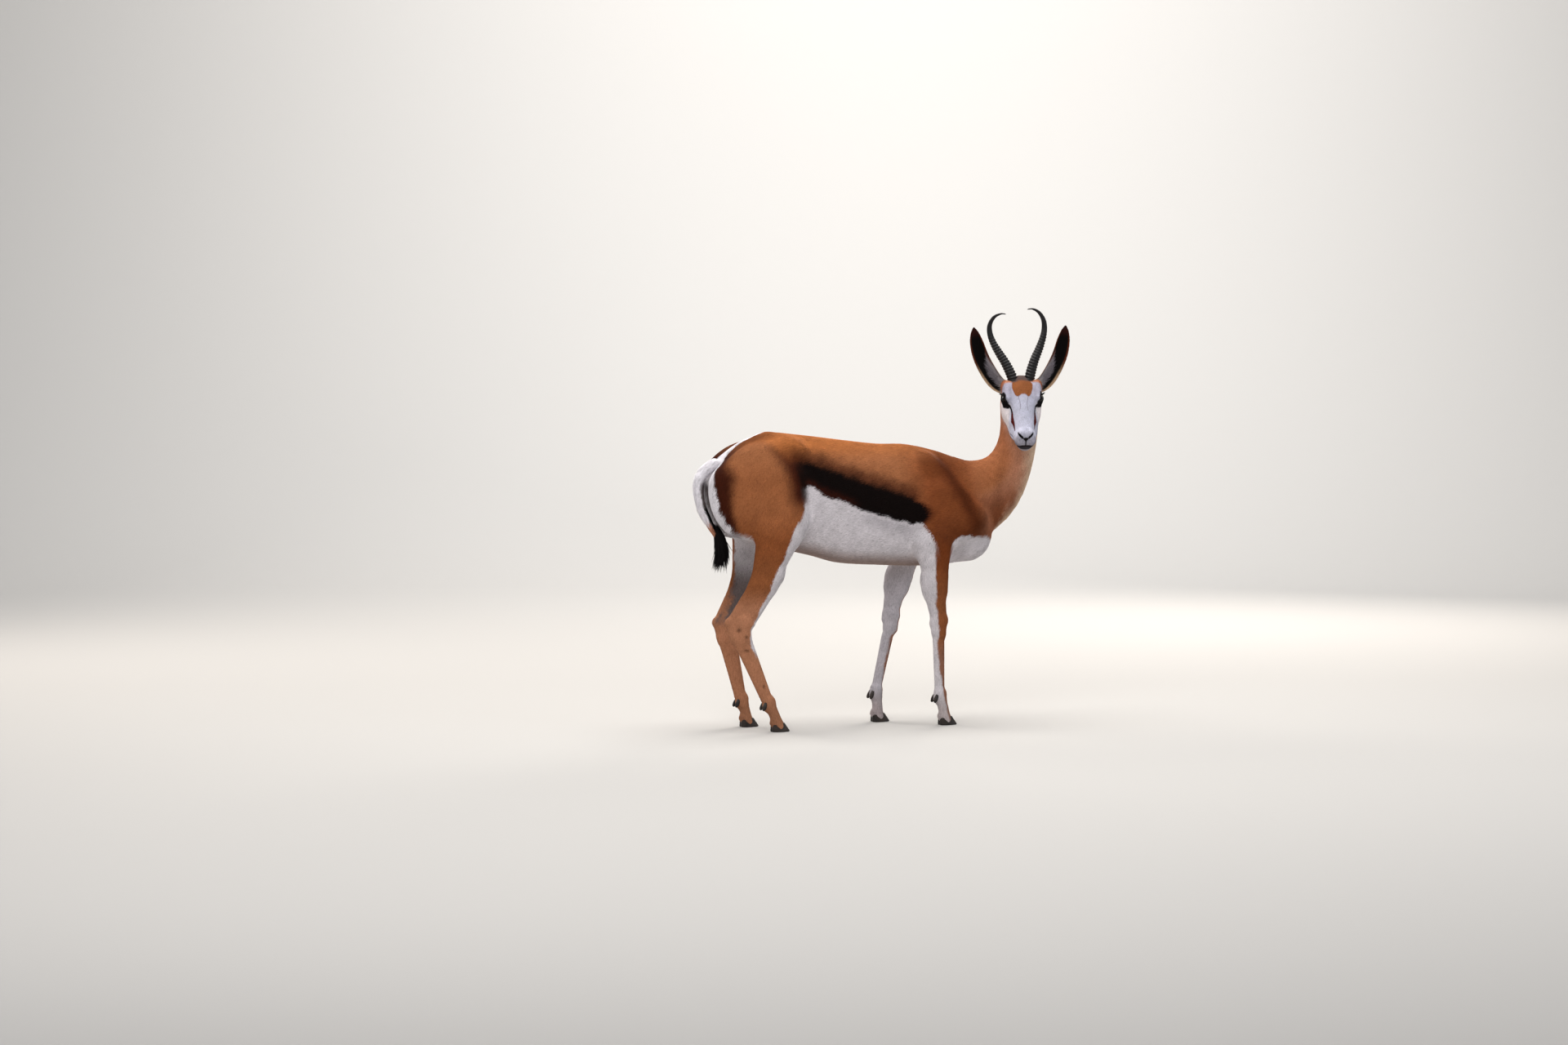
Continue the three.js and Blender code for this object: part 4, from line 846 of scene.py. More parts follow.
def head_colour(p, jitter):
    u, w, v = to_head(p).T
    a = np.abs(w)
    fine = 0.28 * jitter
    # the back of the skull and the nape, the hair between the horns and the temples
    back = smooth(-u - 22 + fine - 0.16 * (v + 40) * (v < -10), -3, 4)
    temple = smooth(a - 55 - 0.5 * np.minimum(u + 14, 0) + fine, -1.5, 2) * smooth(v - 2, -3, 4)
    brow = np.exp(-((a - 35) / 5) ** 2 - ((u - 2) / 16) ** 2) * smooth(v, 8, 20)
    crown = smooth(-u - 26 + 3 * fine, -5, 5) * smooth(30 - a, -3, 3) * smooth(v, 22, 30)
    # the forehead patch, with its wavy lower edge
    low = 20.5 + 5 * np.exp(-((a - 14) / 6) ** 2) - 30 * smooth(a, 19, 34)
    corner = np.maximum(-u - 12, 0) ** 2 / 30
    patch = smooth(low - u + fine, -1.4, 1.4) * smooth(29.5 - a - corner + fine, -1.4, 1.4)
    patch = patch * smooth(v, 10, 16) * smooth(u + 48, -2, 2)
    # two faint dark lines down the bridge of the nose
    lines = np.exp(-((a - 13 + 3.5 * smooth(u, 26, 48) - 2.5 * smooth(u, 50, 68)) / 0.9) ** 2)
    lines *= smooth(u, 22, 27) * smooth(72 - u, 0, 10) * smooth(v, 4, 8)
    # dark skin round each eye, and the stripe from its inner corner to the mouth
    mirrored = np.stack([u, a, v], 1)
    ahead, off = about_eye(mirrored)
    ring = np.linalg.norm(off * (0.9, 1, 0.98), axis=1)
    dark = smooth(19.0 + fine - ring, -1.2, 1.6) * smooth(ahead, -3, 2)
    under = 1 - (((u - 15) / 16) ** 2 + ((v + 9) / 11) ** 2) + 0.1 * fine
    under = smooth(under, -0.12, 0.16) * smooth(a, 33, 38)
    stripe = smooth(stripe_half(u) - np.abs(v - stripe_mid(u)) + fine, -0.9, 0.9)
    stripe *= smooth(u, 8, 14) * smooth(108 - u, 0, 4)
    # muzzle: grey sides, black slits, septum, lips and the edge of the mouth
    muzzle = smooth(u, 118, 136) * smooth(-v, 26, 36) * smooth(v, -64, -54)
    slit = np.linalg.norm(mirrored - along_line(mirrored, SLIT)[1], axis=1)
    septum = smooth(1.8 + 5.5 * smooth(v, -40, -31) - a, -0.8, 0.8) * smooth(u, 136, 140)
    septum = septum * smooth(-v, 27, 30) * smooth(v, -60, -57)
    lip = smooth(-v, 53, 57) * smooth(v + 73.5 - 6 * smooth(a, 8, 24), -3, 3)
    return layered(
        # painted shade: the face's white is greyer and bluer than the body's white
        SHADED_FACE_WHITE,
        # painted shade over the upper face and forehead
        (rgb(164, 158, 174), 0.7 * smooth(40 - u, 0, 40) * smooth(v, 5, 20)),
        (CHEEK, smooth(a - 0.2 * u, 24, 34) * smooth(-v, -6, 6)),
        (MUZZLE_GREY, 0.35 * smooth(u, 122, 142)),
        (FAWN, back),
        (rgb(142, 92, 60), smooth(-u - 44 + fine, -3, 5) * smooth(v, 10, 24)),
        (TEMPLE, 0.95 * temple * smooth(-u + 6, -3, 4)),
        (rgb(126, 120, 128), 0.45 * brow),
        (layered(PATCH, (rgb(132, 74, 32), 0.7 * smooth(a, 20, 29))), patch),
        (GREY_HAIR, 0.92 * crown),
        (rgb(92, 78, 88), 0.62 * lines),
        (SOOT, np.maximum(dark, under)),
        (layered(SOOT, (MAROON, smooth(u, 42, 58))), stripe * smooth(a, 16, 19)),
        (MUZZLE_GREY, 0.7 * muzzle),
        (rgb(104, 98, 106), 0.45 * muzzle * smooth(a, 8, 16) * smooth(-v, 38, 52)),
        (BLACK, smooth(4.4 - 2.2 * smooth(a, 14, 22) - slit, -1, 1)),
        (SOOT, septum),
        (rgb(34, 27, 30), 0.95 * lip * smooth(u, 112, 124) * smooth(25 - a, -4, 4)),
        (rgb(150, 140, 144), 0.7 * smooth(-v, 68, 74) * smooth(u, 104, 122)),
        (rgb(44, 34, 34), 0.9 * np.exp(-((v + 58.8) / 1.6) ** 2) * smooth(u, 84, 92)))


def coat_colour(p, far, jitter):
    """The colour of the coat at points on the skin; jitter moves the edges of the markings."""
    wave = 1.6 * ripple(p, 6, 22) + 2.2 * ripple(p, 22, 70) + jitter
    weights = {name: np.exp(-np.maximum(far[name], 0) / 5.0) for name in REGIONS}
    total = sum(weights.values())
    colour = np.zeros((len(p), 3))
    for name in REGIONS:
        m = weights[name] > 0.01
        q, j = p[m], wave[m]
        end, _, side = name.partition("_")
        if name == "trunk":
            c = rump_colour(q, trunk_colour(q, j), j)
        elif name == "neck":
            c = neck_colour(q, j)
        elif name == "head":
            c = head_colour(q, j)
        elif end == "hind":
            c = rump_colour(q, hind_colour(q, side, j), j)
        else:
            c = fore_colour(q, side, j)
            c = mix(c, trunk_colour(q, j), smooth(q[:, 2], 505, 540)[:, None])
        colour[m] += c * (weights[name][m] / total[m])[:, None]
    # the coat is never one even shade
    shade = 1 + 0.04 * ripple(p, 6, 30) + 0.05 * ripple(p, 30, 90)
    return np.clip(colour * shade[:, None], 0, 1)


# The skin
xs = graded([(-500, 388, BODY_STEP), (388, 556, FACE_STEP), (556, 575, BODY_STEP)])
ys = graded([(-240, -10, FACE_STEP), (-10, 140, BODY_STEP)])
zs = graded([(4, 776, BODY_STEP), (776, 1000, FACE_STEP)])
value = animal.grid(xs, ys, zs)
value += depth_at(xs[:, None, None], ys[None, :, None], zs[None, None, :]).astype(np.float32)
value[[0, -1]] = value[:, [0, -1]] = value[:, :, [0, -1]] = OUTSIDE
points, quads = surface_nets(value, xs, ys, zs)
del value
points = settle(points, 1)
points = settle(relaxed(points, quads), 1)
points = settle(relaxed(points, quads, 0.4), 2)
points[:, 2] = np.maximum(points[:, 2], 1)  # clear of the floor
normals = normals_at(points)
print("skin", len(points), "points", len(quads), "quads")

skin_far = nearness(points)
skin = new_mesh("skin", to_row(points), quads)
set_colours(skin, coat_colour(points, skin_far, 0))
set_lie(skin, lie_of(points, normals, skin_far))


# Lofted pieces
def spline(points, count):
    """Evenly spaced points along a smooth (centripetal) line through a few points."""
    p = np.array(points, float)
    p = np.concatenate([[2 * p[0] - p[1]], p, [2 * p[-1] - p[-2]]])
    fine = []
    for a, b, c, d in zip(p, p[1:], p[2:], p[3:]):
        k = [0]
        for m, n in ((a, b), (b, c), (c, d)):
            k.append(k[-1] + max(np.linalg.norm(n - m) ** 0.5, 1e-6))
        t = np.linspace(k[1], k[2], 24, endpoint=False)[:, None]
        between = lambda p, q, i, j: (k[j] - t) / (k[j] - k[i]) * p + (t - k[i]) / (k[j] - k[i]) * q
        e, f, g = between(a, b, 0, 1), between(b, c, 1, 2), between(c, d, 2, 3)
        fine.append(between(between(e, f, 0, 2), between(f, g, 1, 3), 1, 2))
    fine = np.concatenate(fine + [p[-2:-1]])
    far = np.concatenate([[0], np.cumsum(np.linalg.norm(np.diff(fine, axis=0), axis=1))])
    at = np.linspace(0, 1, count)
    return np.stack([np.interp(at * far[-1], far, fine[:, i]) for i in range(3)], 1)


def headings(line):
    return unit(np.gradient(line, axis=0))


def loft_faces(rows, sides):
    """The faces of a tube of rings: its quads, and the triangles that close each end at a point."""
    r, i = np.meshgrid(np.arange(rows - 1), np.arange(sides), indexing="ij")
    a, b = r * sides + i, r * sides + (i + 1) % sides
    quads = np.stack([a, b, b + sides, a + sides], -1).reshape(-1, 4)
    i = np.arange(sides)
    j = (i + 1) % sides
    first, last, end = rows * sides, rows * sides + 1, (rows - 1) * sides
    start = np.stack([j, i, i * 0 + first], 1)
    return quads, np.concatenate([start, np.stack([end + i, end + j, i * 0 + last], 1)])


def loft(name, rings, flip=False):
    """A closed piece through rings (rows, sides, 3) in model millimetres."""
    rows, sides, _ = rings.shape
    quads, caps = loft_faces(rows, sides)
    if flip:
        quads, caps = quads[:, ::-1], caps[:, ::-1]
    return new_mesh(name, to_row(with_middles(rings)), quads, caps)


def rings_along(line, radius, sides, side_way, flat, bumps=0):
    """Rings round a line; side_way is squeezed by flat, and bumps adds to the radius by (row, angle)."""
    ahead = headings(line)
    across = unit(np.cross(np.broadcast_to(side_way, ahead.shape), ahead))
    sideways = np.cross(ahead, across)
    a = np.linspace(0, 2 * math.pi, sides, endpoint=False)
    r = np.broadcast_to(np.asarray(radius)[:, None], (len(line), sides)) + bumps
    return (line[:, None] + r[..., None] * (np.cos(a)[None, :, None] * across[:, None]
                                           + flat * np.sin(a)[None, :, None] * sideways[:, None]))


# Horns
HORN_LINE = [(16, -5, -16), (11, 3, 19), (0, 18, 59), (-10, 34, 90), (-18, 49, 124), (-20, 55, 151),
             (-17, 53, 174), (-10, 40, 195), (-2, 21, 204), (0, 8, 203)]
HORN_RADIUS = curve([(0, 13.4), (0.2, 12.2), (0.42, 10.4), (0.6, 8), (0.72, 6.6), (0.88, 3.9), (1, 1.1)])
HORN_RINGS, RINGED_SHARE = 21, 0.66


def make_horn(side, s):
    rows, sides = 330, 36
    share = np.linspace(0, 1, rows)
    p = spline(HORN_LINE, rows)
    lean = p[:, 2] * math.sin(math.radians(HORN_LEAN))
    p = np.stack([p[:, 0], p[:, 1] * s - lean, p[:, 2] * HORN_RISE[side]], 1)
    line = standing(p, (HORN_BASE[0], HORN_BASE[1] * s, HORN_BASE[2]))
    a = np.linspace(0, 2 * math.pi, sides, endpoint=False)[None, :]
    t = share[:, None]
    # each ring swells slowly and ends in a sharp lip; they tilt a little and fade towards the smooth tip
    phase = t / RINGED_SHARE * HORN_RINGS + 0.14 * np.sin(a + 0.6) + 0.05 * np.sin(3 * a + 9 * t)
    saw = phase % 1
    ridge = smooth(saw, 0.05, 0.8) * (1 - smooth(saw, 0.84, 1.0))
    fade = 1 - smooth(t, RINGED_SHARE - 0.12, RINGED_SHARE + 0.02)
    size = (2.5 - 1.3 * t / RINGED_SHARE) * (0.9 + 0.18 * np.cos(a - 1.0))
    bumps = (ridge - 0.5) * size * fade * smooth(t, 0.0, 0.03)
    bumps = bumps + 0.22 * np.sin(13 * a + 5 * np.sin(7 * t)) * (1 - 0.7 * t) * fade
    rings = rings_along(line, HORN_RADIUS(share), sides, HEAD[:, 1], 1.12, bumps)
    horn = loft("horn_" + side + "_ringed", rings)
    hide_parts("horn_" + side)
    return horn


horns = [make_horn(side, s) for side, s in SIDES.items()]

# Ears
EAR_LINE = [(-10, -12, -18), (-4, 9, -10), (0, 32, 5), (0, 57, 41), (-2, 76, 83), (-5, 86, 121),
            (-6, 93, 163)]
EAR_WIDE = curve([(0, 15), (0.14, 21), (0.32, 24), (0.6, 23), (0.8, 19.5), (0.93, 11.5), (1, 2.2)])
EAR_DEEP = curve([(0, 13), (0.2, 16), (0.45, 15), (0.7, 10), (0.9, 4.5), (1, 1.5)])
EAR_INSET = 0.7  # the skin of the ear lies this far inside the solid's outer face
EAR_FINE = spline(EAR_LINE, 200)
EAR_WAYS = headings(EAR_FINE)


def ear_frame(t):
    """Line, width way and opening way of an ear at shares of its length."""
    places = np.linspace(0, 1, len(EAR_FINE))
    at = lambda table: np.stack([np.interp(t, places, table[:, i]) for i in range(3)], -1)
    line, tangent = at(EAR_FINE), unit(at(EAR_WAYS))
    opening = unit(np.stack([0.93 + 0 * t, 0.4 - 0.25 * t, 0.08 + 0 * t], -1))
    opening = unit(opening - tangent * (opening * tangent).sum(-1, keepdims=True))
    return line, np.cross(tangent, opening), opening


def ear_point(t, across, inside, s):
    """A point of the ear: across runs from -1 at the inner rim to 1 at the outer one."""
    t, across = np.broadcast_arrays(np.asarray(t, float), np.asarray(across, float))
    line, wide, opening = ear_frame(t)
    w, d = EAR_WIDE(t) - EAR_INSET, EAR_DEEP(t) - EAR_INSET
    fold = 1 + 0.05 * np.sin(9 * across) * smooth(t, 0.1, 0.3)
    if inside:
        a = np.radians(80 * across)
        wall = np.minimum(1.4, 0.5 * d)
        out = mix(0.5 * d, -(d - wall) * fold, smooth(t, 0.1, 0.26))
        q = line + wide * ((w - wall * 0.7) * np.sin(a))[..., None] + opening * (out * np.cos(a))[..., None]
    else:
        a = np.radians(90 * across)
        q = line + wide * (w * np.sin(a))[..., None] - opening * (d * np.cos(a))[..., None]
    return standing(q * (1, s, 1), (EAR_BASE[0], EAR_BASE[1] * s, EAR_BASE[2]))


def ear_colour(t, across, inside, jitter=0.0):
    """Black and grey-haired within, with a dark reddish rim and a pale lower edge; fawn outside."""
    t, across = t + 0.01 * jitter, across + 0.03 * jitter
    if inside:
        grey = smooth(-across + 0.12 - 0.75 * smooth(t, 0.34, 0.62), -0.12, 0.22)
        grey = grey * smooth(0.70 - t, 0, 0.2)
        return layered(
            rgb(6, 4, 4),
            (rgb(112, 106, 112), 0.95 * grey),
            (rgb(168, 162, 166), 0.7 * grey * smooth(-across, 0.42, 0.8)),
            (rgb(96, 44, 26), 0.85 * smooth(np.abs(across), 0.64, 0.9) * smooth(t, 0.36, 0.56)),
            (rgb(172, 142, 114), smooth(across, 0.58, 0.8) * smooth(0.6 - t, 0, 0.3)),
            (rgb(180, 166, 156), 0.9 * smooth(0.13 - t, -0.03, 0.03)),
            (rgb(44, 16, 12), 0.85 * smooth(t, 0.84, 0.95)))
    edge = smooth(across, 0.35, 0.75) * smooth(0.7 - t, 0, 0.3)
    return layered(
        rgb(150, 108, 78),
        (rgb(206, 186, 158), np.maximum(smooth(0.26 - t, -0.08, 0.12), edge)),
        (rgb(92, 50, 36), smooth(t, 0.72, 0.95)),
        (rgb(70, 32, 24), 0.9 * smooth(np.abs(across), 0.8, 0.95) * smooth(t, 0.42, 0.66)))


def make_ear(side, s):
    rows, cols = 84, 31
    t = np.linspace(0, 1, rows)[:, None] * np.ones((1, cols))
    across = np.linspace(-1, 1, cols)[None, :] * np.ones((rows, 1))
    halves = ((across, False), (-across, True))
    rings = np.concatenate([ear_point(t, way, inside, s) for way, inside in halves], 1)
    ear = loft("ear_skin_" + side, rings, flip=s > 0)
    colour = np.concatenate([ear_colour(t.ravel(), way.ravel(), inside).reshape(rows, cols, 3)
                             for way, inside in halves], 1)
    set_colours(ear, with_middles(colour))
    heading = headings(ear_point(np.linspace(0, 1, rows), 0.0, False, s))
    set_lie(ear, with_ends(np.repeat(heading[:, None], cols * 2, 1).reshape(-1, 3)))
    return ear


ears = [make_ear(side, s) for side, s in SIDES.items()]

# Tail
TAIL_LINE = [(-412, 0, 750), (-436, 0, 742), (-459, 0, 726), (-475, 0, 702), (-479, 0, 672), (-473, 0, 638),
             (-460, 0, 606), (-444, 0, 575), (-428, -1, 546)]
TAIL_RADIUS = curve([(0, 17), (0.25, 17), (0.55, 14), (0.8, 11), (1, 5)])
TAIL_INSET = 5.0
BRUSH_X = curve([(0, -432), (0.5, -415), (1, -405)])
BRUSH_Z = curve([(0, 582), (0.5, 548), (1, 512)])
BRUSH_HALF = curve([(0, 5), (0.35, 10), (1, 9)])


def tail_colour(share, outward, jitter=0.0):
    """White, with painted shade on the side towards the rump, rusty behind near its end, where the black
    brush begins.
    """
    share = share + 0.012 * jitter
    return layered(
        RUMP_WHITE,
        # painted shade on the side of the tail that faces the rump
        (rgb(70, 52, 48), 0.9 * smooth(share, 0.24, 0.36) * smooth(-outward, 0.05, 0.55)),
        (TAIL_BROWN, 0.9 * smooth(share, 0.76, 0.84) * smooth(outward, -0.7, -0.1)),
        (BRUSH_BLACK, smooth(share, 0.56, 0.64) * smooth(-outward, -0.2, 0.3)),
        (BRUSH_BLACK, smooth(share, 0.93, 0.98)))


def tail_rings(rows, sides):
    line = spline(TAIL_LINE, rows)
    radius = np.maximum(TAIL_RADIUS(np.linspace(0, 1, rows)) - TAIL_INSET, 2)
    return line, rings_along(line, radius, sides, (0, 1, 0), 0.8)


def make_tail():
    rows, sides = 70, 24
    line, rings = tail_rings(rows, sides)
    tail = loft("tail_skin", rings)
    outward = -unit(rings - line[:, None]) @ np.array([1.0, 0, 0])
    set_colours(tail, with_ends(tail_colour(np.repeat(np.linspace(0, 1, rows), sides), outward.ravel())))
    set_lie(tail, with_ends(np.repeat(headings(line), sides, 0)))
    return tail


tail = make_tail()

# Eyes, with their lids and lashes, and claws
def eye_frame(s):
    axis = unit(np.array(EYE_AXIS) * (1, s, 1))
    level = unit(np.cross(axis, (0, 0, 1)) * s)
    return np.array(EYE_AT) * (1, s, 1), axis, level, np.cross(axis, level) * (-s)


def make_eye(side, s):
    """A dark ball with a slightly raised front; its iris and bar-shaped pupil are in its colours."""
    rows, sides = 48, 64
    polar = np.linspace(0, math.pi, rows + 2)[1:-1]
    a = np.linspace(0, 2 * math.pi, sides, endpoint=False)
    centre, axis, level, rise = eye_frame(s)
    r = EYE_RADIUS + 0.5 * np.exp(-(polar / 0.5) ** 2) - 0.35
    ring = (np.cos(polar) * r)[:, None, None] * axis + (np.sin(polar) * r)[:, None, None] * (
        np.cos(a)[None, :, None] * level + np.sin(a)[None, :, None] * rise)
    eye = loft("eyeball_" + side, from_head(ring + centre), flip=s < 0)
    x, y = np.sin(polar)[:, None] * np.cos(a), np.sin(polar)[:, None] * np.sin(a)
    out = np.hypot(x, y)
    fibre = 0.5 + 0.5 * np.sin(a * 46)[None, :] * np.ones((rows, 1))
    pupil = rgb(2, 2, 2)
    c = layered(
        rgb(7, 4, 4),
        (rgb(20, 10, 7), (smooth(0.62 - out, 0, 0.14) * (0.5 + 0.5 * fibre)).ravel()),
        (pupil, smooth(1 - np.hypot(x / 0.42, y / 0.2), -0.1, 0.12).ravel()),
        (rgb(7, 5, 6), smooth(out, 0.66, 0.74).ravel()))
    set_colours(eye, np.concatenate([c, pupil[None], c[-1:]]))
    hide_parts("eye_" + side)
    return eye


def lid_edge(s, a, out=0.0):
    """Points of the almond-shaped opening over the eyeball, and the way out of the eye there."""
    centre, axis, level, rise = eye_frame(s)
    wide = 12.2 + 1.6 * np.cos(a) ** 2
    tall = np.where(np.sin(a) > 0, 9.6, 8.6)
    x, y = wide * np.cos(a), tall * np.sin(a) - 1.2 * np.cos(a)
    depth = np.sqrt(np.maximum((EYE_RADIUS + 1.0) ** 2 - x * x - y * y, 1))
    p = centre + x[:, None] * level + y[:, None] * rise + depth[:, None] * axis
    way = unit(p - centre)
    return p + way * out, way


def make_lids(side, s):
    """A rounded dark rim round the eye's opening, heavier above."""
    sides, facets = 96, 14
    a = np.linspace(0, 2 * math.pi, sides, endpoint=False)
    centre, axis, _, _ = eye_frame(s)
    p, way = lid_edge(s, a)
    ahead = unit(np.roll(p, -1, 0) - np.roll(p, 1, 0))
    outward = unit(np.cross(ahead, way))
    outward *= np.sign((outward * (p - centre - axis * EYE_RADIUS)).sum(1))[:, None]
    around = np.linspace(0, 2 * math.pi, facets, endpoint=False)
    thick = 1.25 + 0.75 * np.clip(np.sin(a), 0, 1)
    ring = p[:, None] + outward[:, None] * 1.2 + thick[:, None, None] * (
        np.cos(around)[None, :, None] * outward[:, None] * 1.7 + np.sin(around)[None, :, None] * way[:, None])
    i, j = np.meshgrid(np.arange(sides), np.arange(facets), indexing="ij")
    i2, j2 = (i + 1) % sides, (j + 1) % facets
    quads = np.stack([i * facets + j, i2 * facets + j, i2 * facets + j2, i * facets + j2], -1).reshape(-1, 4)
    flat = from_head(ring.reshape(-1, 3))
    a, b, c, _ = flat[quads[0]]
    faces_out = np.dot(np.cross(b - a, c - a), a - from_head(p[0] + outward[0] * 1.2)) > 0
    return new_mesh("lids_" + side, to_row(flat), quads if faces_out else quads[:, ::-1])


def make_lashes(side, s):
    """Two rows of curved dark lashes along the upper lid, as one piece."""
    _, axis, level, rise = eye_frame(s)
    a = np.radians(np.repeat(np.linspace(8, 172, 34), 2) + np.tile([0, 2.2], 34))
    p, way = lid_edge(s, a, 0.8)
    size = (8.5 + 4.5 * np.exp(-((a - 1.9) / 0.7) ** 2)) * rng.uniform(0.85, 1.15, len(a))
    fan = np.cos(a)[:, None] * level * 0.5
    points, faces = [], []
    for k in range(len(a)):
        out = unit(way[k] + 0.35 * rise + fan[k] + rng.normal(0, 0.06, 3))
        down = unit(axis * 0.4 - rise * 0.8)
        side_way = unit(np.cross(out, down))
        base = len(points)
        for t, r in ((0, 0.42), (0.35, 0.36), (0.7, 0.24)):
            q = p[k] + out * size[k] * t + down * size[k] * 0.42 * t * t
            for w in (0, 2.094, 4.189):
                points.append(q + r * (math.cos(w) * side_way + math.sin(w) * np.cross(side_way, out)))
        points.append(p[k] + out * size[k] + down * size[k] * 0.42)
        faces.append((base, base + 1, base + 2))
        for row in (0, 3):
            for i in range(3):
                b, c = base + row + i, base + row + (i + 1) % 3
                faces += [(b, c + 3, c), (b, b + 3, c + 3)]
        faces += [(base + 6 + i, base + 9, base + 6 + (i + 1) % 3) for i in range(3)]
    return new_mesh("lashes_" + side, to_row(from_head(np.array(points))), faces)


eyes = [make_eye(side, s) for side, s in SIDES.items()]
lids = [make(side, s) for make in (make_lids, make_lashes) for side, s in SIDES.items()]
CLAW_OUTLINE = [(-23, 2), (-19, 1.4), (-6, 1.4), (10, 1.4), (22, 1.8), (29, 4), (25, 9), (16, 13.5),
                (4, 16.5), (-9, 17), (-19, 14.5), (-24, 9)]
CLAW_LEVELS = curve([(0, 0.95), (2.5, 0.99), (16, 0.955), (40, 0.9)])
CLAW_SLIDE = curve([(0, 0), (2.5, 0), (16, -8), (40, -22)])


def make_claws(side, end):
    sign, leg = SIDES[side], LEGS[side][end]
    x0, y0 = leg["toe"][0], sign * leg["spread"][3]
    pieces = []
    for way in (-1, 1):
        name = f"{end}_claw_{'outer' if way * sign > 0 else 'inner'}_{side}"
        loop = closed_loop(CLAW_OUTLINE, 48)
        levels = np.array([0, 0.5, 1.5, 3, 5, 8, 11, 14, 17, 20, 22.5, 25])
        ridge = 0.25 * np.sin(levels * 1.35) * smooth(levels, 2, 6)
        rings = []
        for z, bump in zip(levels, ridge):
            scale = CLAW_LEVELS(z) - (0.03 if z == 0 else 0.012 if z == 0.5 else 0) + bump / 30
            ahead = np.clip((loop[:, 0] + 24) / 53, 0, 1)
            top = z + 1.6 * (1 - ahead) * smooth(z, 18, 25)
            rings.append(np.stack([x0 + loop[:, 0] * scale + CLAW_SLIDE(z) * ahead,
                                   y0 + way * (1.2 + (loop[:, 1] - 1.2) * scale), top + 0 * loop[:, 0]], 1))
        claw = loft(name + "_shell", np.array(rings), flip=way < 0)
        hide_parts(name)
        pieces.append(claw)
        fx, fz = leg["fetlock"]
        line = spline([(fx - 12 - i * 3.4, y0 + way * (9.5 + i * 0.8), fz + 2 - i * 7) for i in range(4)], 20)
        share = np.linspace(0, 1, 20)
        radius = curve([(0, 5.2), (0.45, 6.1), (0.8, 4.8), (0.95, 3.2), (1, 2.2)])(share)
        small_name = name.replace("claw", "dewclaw")
        small = loft(small_name + "_shell", rings_along(line, radius, 20, (0, 1, 0), 0.92))
        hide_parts(small_name)
        pieces.append(small)
    return pieces


def closed_loop(points, count):
    """A smooth closed outline through a few points."""
    p = np.array(points, float)
    n = len(p)
    t = np.linspace(0, n, count, endpoint=False)
    i = t.astype(int)
    f = (t - i)[:, None]
    a, b, c, d = (p[(i + k) % n] for k in (-1, 0, 1, 2))
    square, cube = 2 * a - 5 * b + 4 * c - d, 3 * b - a - 3 * c + d
    return 0.5 * (2 * b + (c - a) * f + square * f ** 2 + cube * f ** 3)


claws = [claw for side in LEGS for end in JOINTS for claw in make_claws(side, end)]


# The coat
# By the number of rings of a tuft: their shares of its length, and their shares of its width
TUFT_SHAPES = {1: ((0.42,), (1.0,)), 2: ((0.3, 0.68), (1.0, 0.72)), 3: ((0.22, 0.5, 0.77), (0.9, 1.0, 0.62))}
ROOT_DEPTH = 0.9
SOFT = 0.5  # how far the light falls on a tuft by its own roundness
ON_CHART = 0.003  # the size of one tuft's patch of the unwrap


def tuft_mesh(name, root, normal, lie, length, width, lift, colour, uv, rings=1, sway=0.12):
    """Closed tapered tufts, each rooted under the skin, lifted in the middle and lying back to its tip."""
    n = len(root)
    lie = unit(lie + np.cross(normal, lie) * rng.normal(0, sway, (n, 1)))
    lie = unit(lie - normal * (lie * normal).sum(1)[:, None])
    side = np.cross(normal, lie)
    curl = rng.normal(0, 0.06, n) * length
    places, shape = TUFT_SHAPES[rings]

    def spine(t):
        rise = lift * (1 - (1 - min(t / 0.55, 1)) ** 2) * (1 - 0.7 * max(t - 0.5, 0))
        return root + lie * (length * t)[:, None] + side * (curl * t * t)[:, None] + normal * rise[:, None]

    rows, ways = [root - normal * ROOT_DEPTH], [normal]
    for t, k in zip(places, shape):
        middle, half = spine(t), (0.5 * width * k)[:, None]
        rows += [middle - side * half, middle + side * half, middle + normal * half * 0.6]
        ways += [unit(normal - side * SOFT), unit(normal + side * SOFT), normal]
    rows.append(spine(1.0))
    ways.append(unit(normal + lie * SOFT * 0.5))
    count = len(rows)
    faces = [(0, 2, 1), (0, 3, 2), (0, 1, 3)]
    for r in range(rings - 1):
        a, b = 1 + 3 * r, 4 + 3 * r
        for i in range(3):
            j = (i + 1) % 3
            faces += [(a + i, a + j, b + j), (a + i, b + j, b + i)]
    last = 1 + 3 * (rings - 1)
    faces += [(last + i, last + (i + 1) % 3, count - 1) for i in range(3)]
    every = (np.arange(n) * count)[:, None, None] + np.array(faces)
    piece = new_mesh(name, to_row(np.stack(rows, 1).reshape(-1, 3)), every.reshape(-1, 3))
    shade = np.array([0.96] + [1.0] * 3 * rings + [1.04])
    set_colours(piece, np.clip(colour[:, None] * shade[None, :, None], 0, 1).reshape(-1, 3))
    # light falls on the tufts as on the coat as a whole, with only a little of each tuft's own roundness
    piece.data.normals_split_custom_set_from_vertices(np.stack(ways, 1).reshape(-1, 3))
    # each tuft is a small patch of the skin's unwrap, at its root
    patch = np.zeros((count, 2))
    patch[0], patch[-1] = (0, -0.5), (0, 0.5)
    for r in range(rings):
        patch[1 + 3 * r:4 + 3 * r] = [(x, places[r] - 0.5) for x in (-0.5, 0.5, 0)]
    layer = piece.data.uv_layers.new(name="OFBake")
    on_chart = uv[:, None] + patch[None] * ON_CHART
    layer.data.foreach_set("uv", on_chart.reshape(-1, 2)[every.reshape(-1)].astype(np.float32).ravel())
    return piece


